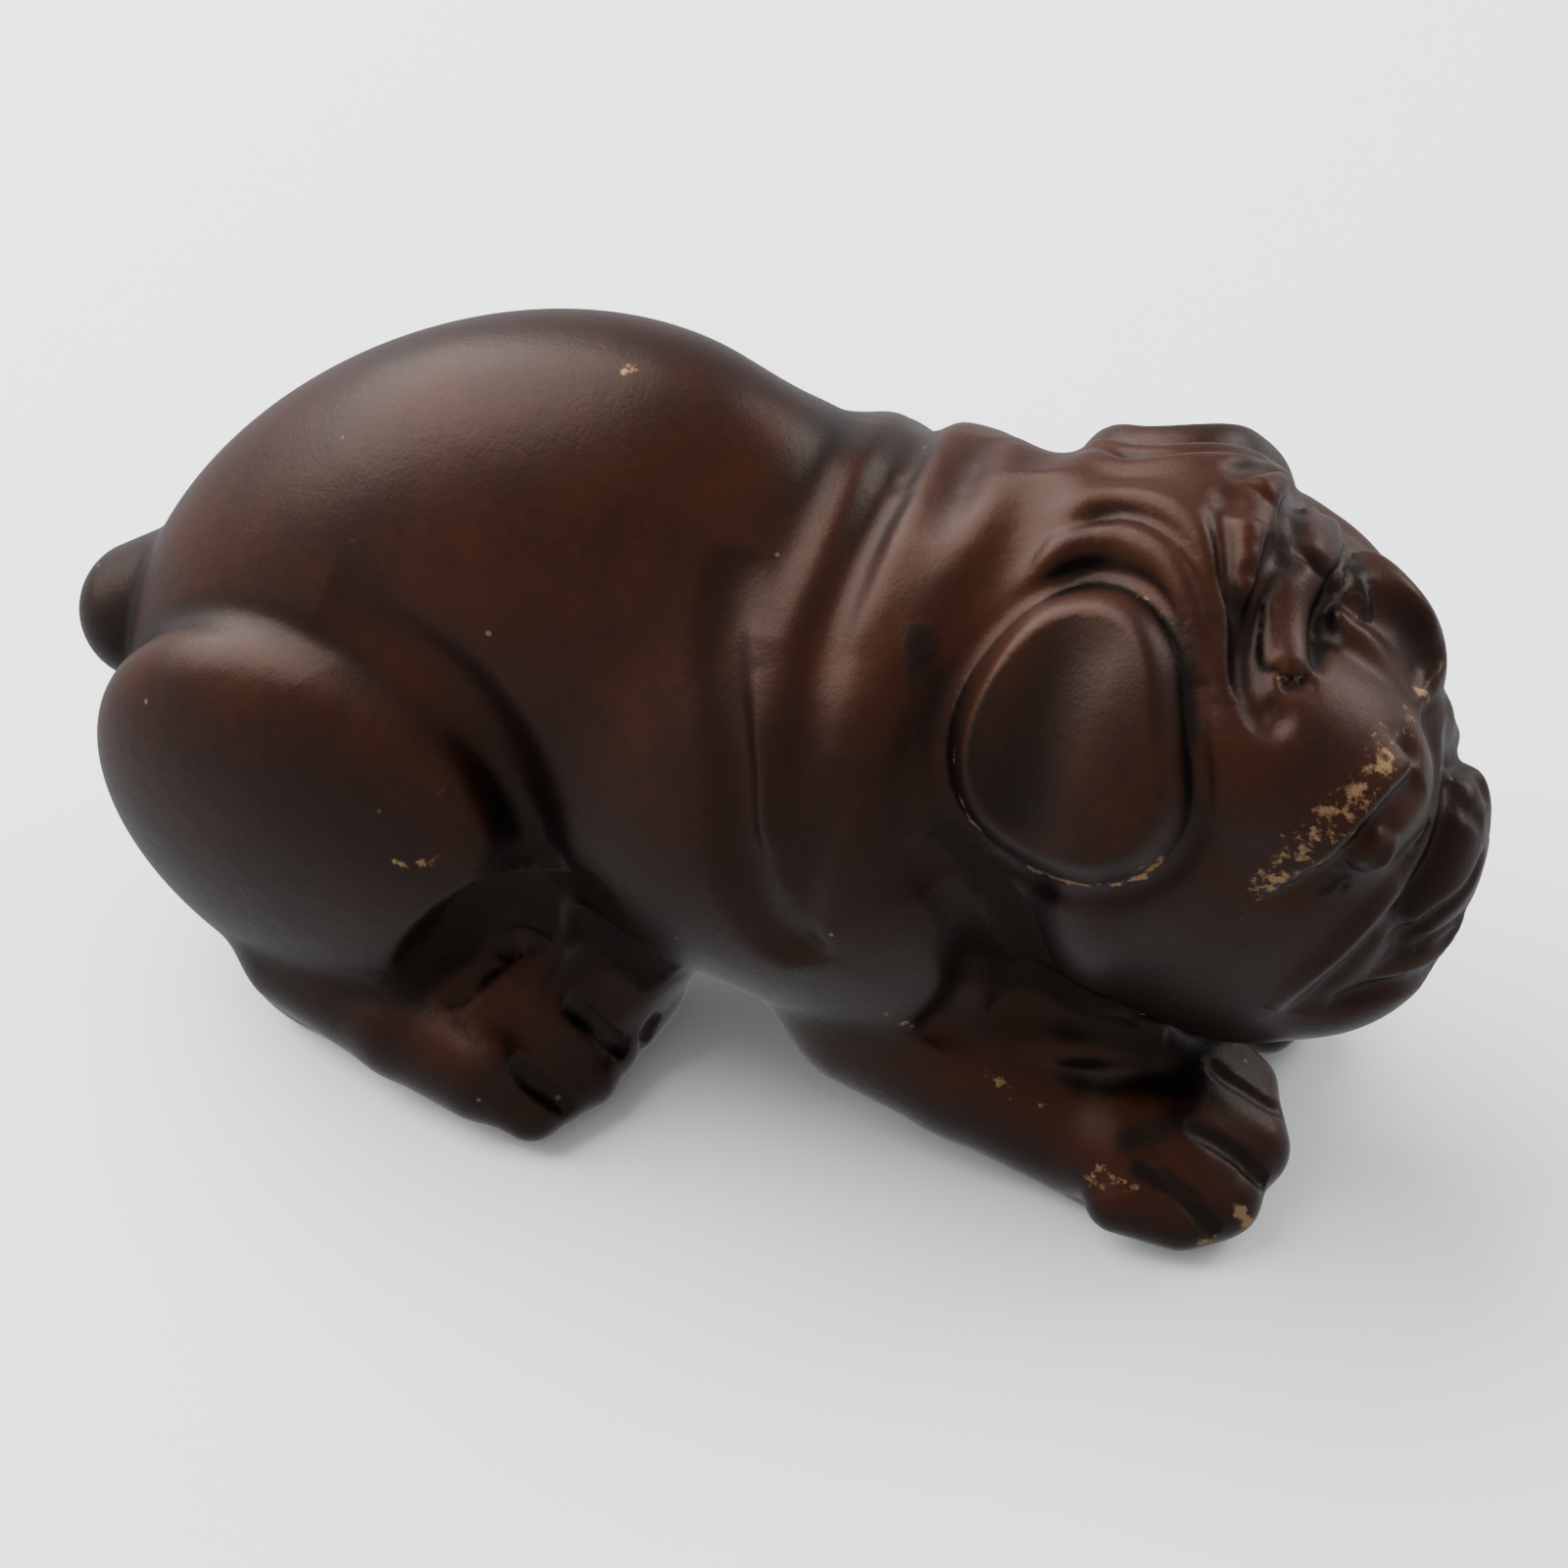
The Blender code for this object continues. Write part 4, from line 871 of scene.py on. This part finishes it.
GRITTY = [
    # behind the ear
    stroke([(34.6, 16.5, 64.7), (36.1, 19.4, 61.7), (37, 21.9, 58), (37.7, 24.1, 53.4),
            (40, 24.6, 47.8)], 0.95, 2.4),
    # under the ear
    stroke([(40, 24.6, 47.8), (43, 23.1, 42.2), (45.2, 20.8, 35.4), (46.5, 16.7, 26.5)], 1.1, 3.2),
    # armpit
    stroke([(42.6, 20.4, 28), (45.5, 16.1, 23.5), (49, 14.5, 22.4), (54.6, 13.4, 21.1)], 1.1, 2.6),
    # thigh recess
    stroke([(-6, 23.4, 29.3), (-10.4, 21.4, 19.5), (-14.9, 25.3, 15)], 1.0, 3.6),
    # knee hollow
    stroke([(-3.4, 25.6, 33.5), (-2.5, 19.9, 24), (3.8, 17.6, 20.1), (7.5, 15.4, 13.9)], 1.0, 3.6),
    # forehead pit
    stroke([(64.5, -0.7, 71.4), (64.5, 2.4, 71.1)], 1.3, 1.3),
    # furrow
    stroke([(70.9, 0.1, 66.2), (71.8, 0.7, 65.8)], 1.0, 1.0),
    # neck groove
    stroke([(27.3, -6.6, 69), (27.4, 4.8, 69.3), (26.4, 11.9, 67)], 0.45, 1.6),
    # ear channel
    stroke([(58.2, 12.9, 69.6), (59.7, 16.9, 66.4), (61, 20.4, 62.8)], 0.6, 1.4),
    # eye corner
    stroke([(78.6, 11, 58.7), (79, 11, 58.1)], 0.9, 1.2),
    # under the eye
    stroke([(75.2, 17.8, 47.9), (73.8, 18.7, 46.9)], 0.8, 1.2),
    # toe grooves
    stroke([(61.4, 21.9, 9.9), (63.5, 22.3, 8.2)], 0.6, 1.2),
    # hind toes
    stroke([(-10.9, 26.3, 13.1), (-4.6, 29.4, 10.4)], 0.5, 2.2),
]

GRIMY = [
    # toe line 1
    stroke([(63.3, 9.8, 12.6), (67, 9.5, 10), (70.5, 9.1, 7.3)], 0.9, 0.75),
    # toe line 2
    stroke([(62.6, 17.6, 11.7), (66.9, 16.4, 9.1), (71.1, 16, 4.5)], 1.0, 0.9),
    # toe line 3
    stroke([(59.6, 22.8, 9.6), (63.7, 22.9, 7.5), (67.9, 22.9, 3.8)], 1.0, 0.9),
    # hind line 1
    stroke([(0.4, 21.7, 13.3), (3.2, 20.9, 9.8), (5.7, 19.2, 5.4)], 1.0, 0.9),
    # hind line 2
    stroke([(-3.2, 28.3, 10.2), (-0.3, 27.9, 6.8), (2.6, 27.4, 3.8)], 1.0, 0.9),
    # hind line 3
    stroke([(7.6, 14.3, 6.7), (6.5, 16.4, 3.8)], 0.9, 0.8),
    # above the toes
    stroke([(58.1, 21, 11.3), (60.6, 19.3, 11.8), (62.4, 16.8, 12)], 0.6, 2.0),
    # ear channel
    stroke([(56.3, 13.3, 69.5), (58.6, 16.5, 66.9), (60.3, 20.1, 63.2)], 0.8, 1.1),
    # forehead line
    stroke([(64, 4.8, 70.9), (63.4, 8.2, 69.5), (64.1, 13.4, 67.1), (65.7, 16.8, 65.5)], 0.7, 0.9),
    # brow line
    stroke([(68.9, -4.4, 66.9), (72.3, -0.4, 66), (76.2, 1.2, 62.5), (78.4, 0.9, 58.6)], 0.8, 1.2),
    # eye
    stroke([(76.5, 19.7, 50.9), (78.4, 19.2, 52.6), (78.8, 16.8, 54.1)], 0.8, 0.8),
    # mouth
    stroke([(85, 1.1, 27.8), (83.3, 3.4, 26.3), (81.2, 9.1, 28.9), (78.5, 12.2, 29.7)], 0.8, 0.8),
]


def mesh_normals(mesh):
    flat = np.empty(len(mesh.vertices) * 3)
    mesh.vertex_normals.foreach_get("vector", flat)
    return flat.reshape(-1, 3)


def keep_mask(mesh, name, values):
    """Stores one number from 0 to 1 for each point, for the material to read."""
    layer = mesh.attributes.new(name, "FLOAT", "POINT")
    layer.data.foreach_set("value", np.clip(values, 0.0, 1.0).astype(np.float32))


def stroke_mask(points, strokes):
    """How strongly the nearest of these strokes covers each point."""
    folded = points * np.array([1.0, -1.0, 1.0])
    found = np.zeros(len(points))
    for mark in strokes:
        near, amount = mark.offset(folded)
        if len(near):
            found[near] = np.maximum(found[near], amount)
    return found


def openness(points, normals, reach):
    """1 over open skin, less in a hollow, from how far the form lies away from a point above the skin."""
    return np.clip(form(points + reach * normals) / reach, 0.0, 1.0)


skin = mesh_points(dog.data)
outward = mesh_normals(dog.data)
open_skin = [openness(skin, outward, reach) for reach in OPEN_REACHES]
hollow = 1.0 - sum(open_skin) / len(open_skin)
ridge = 1.0 + form(skin - RIDGE_DEPTH * outward) / RIDGE_DEPTH
keep_mask(dog.data, "hollow", np.maximum(HOLLOW_GAIN * hollow, stroke_mask(skin, GRIMY)))
# The ridges get a faint gold that is partly wear and partly a painted highlight.
keep_mask(dog.data, "ridge", RIDGE_GAIN * ridge)
keep_mask(dog.data, "rubbed", stroke_mask(skin, RUBBED))
keep_mask(dog.data, "gritty", stroke_mask(skin, GRITTY))

# A painted shade mask, strongest where the skin faces down, lies low or is on the tail.
low = np.clip((LOW_HEIGHT - skin[:, 2]) / LOW_DEPTH, 0.0, 1.0)
shade_on_tail = np.clip(TAIL_EDGE - np.min([lump.distance(skin) for lump in TAIL], axis=0), 0.0, 1.0)
shade_facing_down = UPRIGHT_SHADE - FACING_DOWN_SHADE * outward[:, 2]
keep_mask(dog.data, "painted_shade", shade_facing_down + LOW_SHADE * low + TAIL_SHADE * shade_on_tail)


# Setting down
# The skin is brought to its real size and set exactly where the solid of the figure stands.
def set_down(obj, low, high):
    """Brings the skin to the solid's box, and gives where the units' own origin then lies, in metres."""
    points = mesh_points(obj.data)
    first, last = points.min(0), points.max(0)
    scale = (np.array(high) - np.array(low)) / (last - first)
    set_mesh_points(obj.data, (points - first) * scale + np.array(low))
    return Vector(np.array(low) - first * scale)


origin_shift = set_down(dog, *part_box("dog_figure"))
for face in dog.data.polygons:
    face.use_smooth = True
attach(dog, "root")
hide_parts("dog_figure")


# The finish
# A waxed dark brown patina over bronze: reddish brown where it is thin, nearly black in the hollows, golden
# where it is rubbed through, and dull grey-brown with the grain of the mould where a tool never reached.
# Painted shade darkens it where it faces down, lies low or is on the tail, and a faint painted highlight
# lightens the ridges.
BROWN = (0.0108, 0.0036, 0.0021, 1.0)
RED_BROWN = (0.026, 0.0062, 0.0022, 1.0)
BLACK_BROWN = (0.0018, 0.0014, 0.0012, 1.0)
# The painted shade, dark and grey, with a painted hint of the floor's reflection.
SHADE_BROWN = (0.0034, 0.0027, 0.0024, 1.0)
GREY_BROWN = (0.0048, 0.0044, 0.0040, 1.0)
GOLD = (0.23, 0.14, 0.072, 1.0)
DUST = (0.16, 0.13, 0.10, 1.0)

# The sizes of the patches in the patina and of the marks on its surface, in metres.
CLOUD_SIZE = 0.030
SWELL_SIZE = 0.0065
BRUSH_SIZE = 0.0016
GRAIN_SIZE = 0.0011
FINE_SIZE = 0.00045
BUMP_DEPTH = 0.0012

# The brush strokes are drawn out along a slanting line, and specks of dust lie about one to a cell.
BRUSH_TURN = (0.3, 0.2, 0.9)
BRUSH_STRETCH = (0.18, 1.0, 1.0)
CELLS_PER_METRE = 260.0

# The gloss of the waxed skin.
WAX_IOR = 1.5
WAX_LEVEL = 0.19
WAX_TINT = (1.0, 0.70, 0.58, 1.0)
BUMP_STRENGTH = 0.6

# The places of sockets that share a name with others on their node.
NUMBER_OUTPUT = 2
OBJECT_OUTPUT = 3
MIX_BELOW = 6
MIX_ABOVE = 7
MIX_OUTPUT = 2
CELL_DISTANCE = 0
CELL_MIDDLE = 2


class Amount:
    """A number or colour in a material, on which sums can be written."""

    tree = None

    def __init__(self, socket):
        self.socket = socket

    @classmethod
    def node(cls, kind, settings=(), inputs=(), output=0):
        """A node of this kind, with its settings, and values or links for its sockets."""
        made = cls.tree.nodes.new(kind)
        for name, value in dict(settings).items():
            setattr(made, name, value)
        for key, value in dict(inputs).items():
            if isinstance(value, cls):
                cls.tree.links.new(value.socket, made.inputs[key])
            else:
                made.inputs[key].default_value = value
        return cls(made.outputs[output])

    @classmethod
    def sum(cls, operation, first, second):
        return cls.node("ShaderNodeMath", {"operation": operation}, {0: first, 1: second})

    def __add__(self, other):
        return Amount.sum("ADD", self, other)

    def __radd__(self, other):
        return Amount.sum("ADD", other, self)

    def __sub__(self, other):
        return Amount.sum("SUBTRACT", self, other)

    def __rsub__(self, other):
        return Amount.sum("SUBTRACT", other, self)

    def __mul__(self, other):
        return Amount.sum("MULTIPLY", self, other)

    def __rmul__(self, other):
        return Amount.sum("MULTIPLY", other, self)

    def rise(self, low, high):
        """0 below low, 1 above high, smooth between."""
        ends = {"Value": self, "From Min": low, "From Max": high}
        return Amount.node("ShaderNodeMapRange", {"interpolation_type": "SMOOTHSTEP"}, ends)

    def colour(self, below, above):
        """The first colour where this is 0 and the second where it is 1."""
        inputs = {0: self, MIX_BELOW: below, MIX_ABOVE: above}
        return Amount.node("ShaderNodeMix", {"data_type": "RGBA"}, inputs, MIX_OUTPUT)


def noise(place, size, detail, roughness=0.55):
    """Cloudy values about 0.5, in patches of this size in metres."""
    return Amount.node("ShaderNodeTexNoise", {}, {"Vector": place, "Scale": 1.0 / size, "Detail": detail,
                                                  "Roughness": roughness})


def cells(place, output):
    """The distance to the middle of the nearest cell, or that middle."""
    inputs = {"Vector": place, "Scale": CELLS_PER_METRE}
    return Amount.node("ShaderNodeTexVoronoi", {"feature": "F1"}, inputs, output)


def mask(name):
    """The number that is kept under this name for each point."""
    return Amount.node("ShaderNodeAttribute", {"attribute_name": name}, output=NUMBER_OUTPUT)


def bronze(name):
    material = bpy.data.materials.new(name)
    material.use_nodes = True
    Amount.tree = material.node_tree
    place = Amount.node("ShaderNodeTexCoord", output=OBJECT_OUTPUT)
    hollow, ridge, painted_shade = mask("hollow"), mask("ridge"), mask("painted_shade")
    rubbed, gritty = mask("rubbed"), mask("gritty")

    cloud = noise(place, CLOUD_SIZE, 4.0)
    grain = noise(place, GRAIN_SIZE, 5.0, 0.65)
    fine = noise(place, FINE_SIZE, 4.0, 0.6)
    stretched = Amount.node("ShaderNodeMapping", {}, {"Vector": place, "Rotation": BRUSH_TURN,
                                                      "Scale": BRUSH_STRETCH})
    brushed = noise(stretched, BRUSH_SIZE, 3.0)
    uneven = noise(place, SWELL_SIZE, 2.0)

    # The patina: clouded with red, painted shade below and on the tail, blackest in the hollows.
    ground = (cloud + 0.20 * grain).rise(0.50, 0.74).colour(BROWN, RED_BROWN)
    ground = ((painted_shade + 0.5 * (cloud - 0.5)) * 0.85).colour(ground, SHADE_BROWN)
    ground = (hollow + 0.25 * (grain - 0.5)).rise(0.15, 0.68).colour(ground, BLACK_BROWN)

    # The skin of the mould, left rough.
    rough_skin = (gritty * (0.55 + 0.9 * grain)).rise(0.35, 0.75)
    ground = (rough_skin * 0.75).colour(ground, GREY_BROWN)

    # Metal rubbed bare in broken flecks, and on the ridges a faint gold, part wear and part painted
    # highlight.
    worn = (rubbed * 1.05 + 2.2 * (grain - 0.5) + 1.2 * (brushed - 0.5)).rise(0.56, 1.02)
    thin = (ridge + 0.8 * (cloud - 0.5)).rise(0.45, 1.1) * (1.0 - hollow) * 0.22
    ground = thin.colour(ground, GOLD)
    ground = (worn * 0.88).colour(ground, GOLD)

    # Specks of dust, in the few cells that the chance picks.
    chance = Amount.node("ShaderNodeTexWhiteNoise", {}, {"Vector": cells(place, CELL_MIDDLE)})
    dust = (0.10 - cells(place, CELL_DISTANCE)).rise(0.0, 0.05) * chance.rise(0.93, 0.95)
    ground = (dust * 0.4).colour(ground, DUST)

    roughness = 0.40 + 0.10 * (cloud - 0.5) + 0.16 * (fine - 0.5) + 0.45 * rough_skin + 0.10 * worn
    height = 0.05 * fine + 0.16 * grain * (0.10 + rough_skin) + 0.16 * uneven + 0.02 * brushed - 0.05 * worn
    bump = Amount.node("ShaderNodeBump", {}, {"Height": height, "Strength": BUMP_STRENGTH,
                                              "Distance": BUMP_DEPTH})

    shader = Amount.tree.nodes["Principled BSDF"]
    links = Amount.tree.links
    links.new(ground.socket, shader.inputs["Base Color"])
    links.new(roughness.socket, shader.inputs["Roughness"])
    links.new((worn * 0.75).socket, shader.inputs["Metallic"])
    links.new(bump.socket, shader.inputs["Normal"])
    shader.inputs["IOR"].default_value = WAX_IOR
    shader.inputs["Specular IOR Level"].default_value = WAX_LEVEL
    shader.inputs["Specular Tint"].default_value = WAX_TINT
    return material


dog.data.materials.clear()
dog.data.materials.append(bronze("bronze"))


# The table and the light
# A pale studio table under one wide soft light from above the dog's tail, with a small one past its head.
# Neither is part of the figurine, and the table isn't mirrored in it.
TABLE_SIZE = 6.0
TABLE_WHITE = (0.92, 0.92, 0.92, 1.0)
TABLE_ROUGHNESS = 0.8
LIGHTS_AIM = (0.0, 0.0, 0.04)
SKY = (0.95, 0.97, 1.0, 1.0)
SKY_STRENGTH = 0.85

bm = bmesh.new()
bmesh.ops.create_grid(bm, x_segments=1, y_segments=1, size=TABLE_SIZE / 2.0)
table_mesh = bpy.data.meshes.new("table")
bm.to_mesh(table_mesh)
bm.free()
table = bpy.data.objects.new("table", table_mesh)
bpy.context.scene.collection.objects.link(table)
table_paint = bpy.data.materials.new("table_paint")
table_paint.use_nodes = True
table_shader = table_paint.node_tree.nodes["Principled BSDF"]
table_shader.inputs["Base Color"].default_value = TABLE_WHITE
table_shader.inputs["Roughness"].default_value = TABLE_ROUGHNESS
table.data.materials.append(table_paint)
table.visible_glossy = False


def softbox(name, place, size, power):
    """A square light that faces the figure."""
    lamp = bpy.data.lights.new(name, "AREA")
    lamp.size = size
    lamp.energy = power
    light = bpy.data.objects.new(name, lamp)
    light.location = place
    light.rotation_euler = (Vector(LIGHTS_AIM) - Vector(place)).to_track_quat("-Z", "Y").to_euler()
    bpy.context.scene.collection.objects.link(light)


softbox("top_light", place=(-0.54, 0.14, 0.66), size=1.05, power=30.0)
softbox("back_light", place=(0.50, 0.55, 0.42), size=0.40, power=3.5)

world = bpy.data.worlds.new("studio")
bpy.context.scene.world = world
world.use_nodes = True
world.node_tree.nodes["Background"].inputs["Color"].default_value = SKY
world.node_tree.nodes["Background"].inputs["Strength"].default_value = SKY_STRENGTH


# The camera
# It looks down on the dog's right side from a little ahead, as the photograph was taken. The distance, the
# target and the width of the view are in units.
AZIMUTH = math.radians(18.0)
ELEVATION = math.radians(42.0)
DISTANCE = 400.0
TARGET = (16.4, 0.0, 28.3)
SENSOR = 36.0
UNITS_ACROSS = 156.8
NEAREST = 0.01
FARTHEST = 20.0

camera_data = bpy.data.cameras.new("camera")
camera_data.sensor_width = SENSOR
camera_data.lens = SENSOR * DISTANCE / UNITS_ACROSS
camera = bpy.data.objects.new("camera", camera_data)
back = Vector((math.sin(AZIMUTH) * math.cos(ELEVATION), -math.cos(AZIMUTH) * math.cos(ELEVATION),
               math.sin(ELEVATION)))
aim = Vector(TARGET) * UNIT + origin_shift
camera.location = aim + back * DISTANCE * UNIT
camera.rotation_euler = (-back).to_track_quat("-Z", "Y").to_euler()
camera_data.clip_start = NEAREST
camera_data.clip_end = FARTHEST
bpy.context.scene.collection.objects.link(camera)
bpy.context.scene.camera = camera
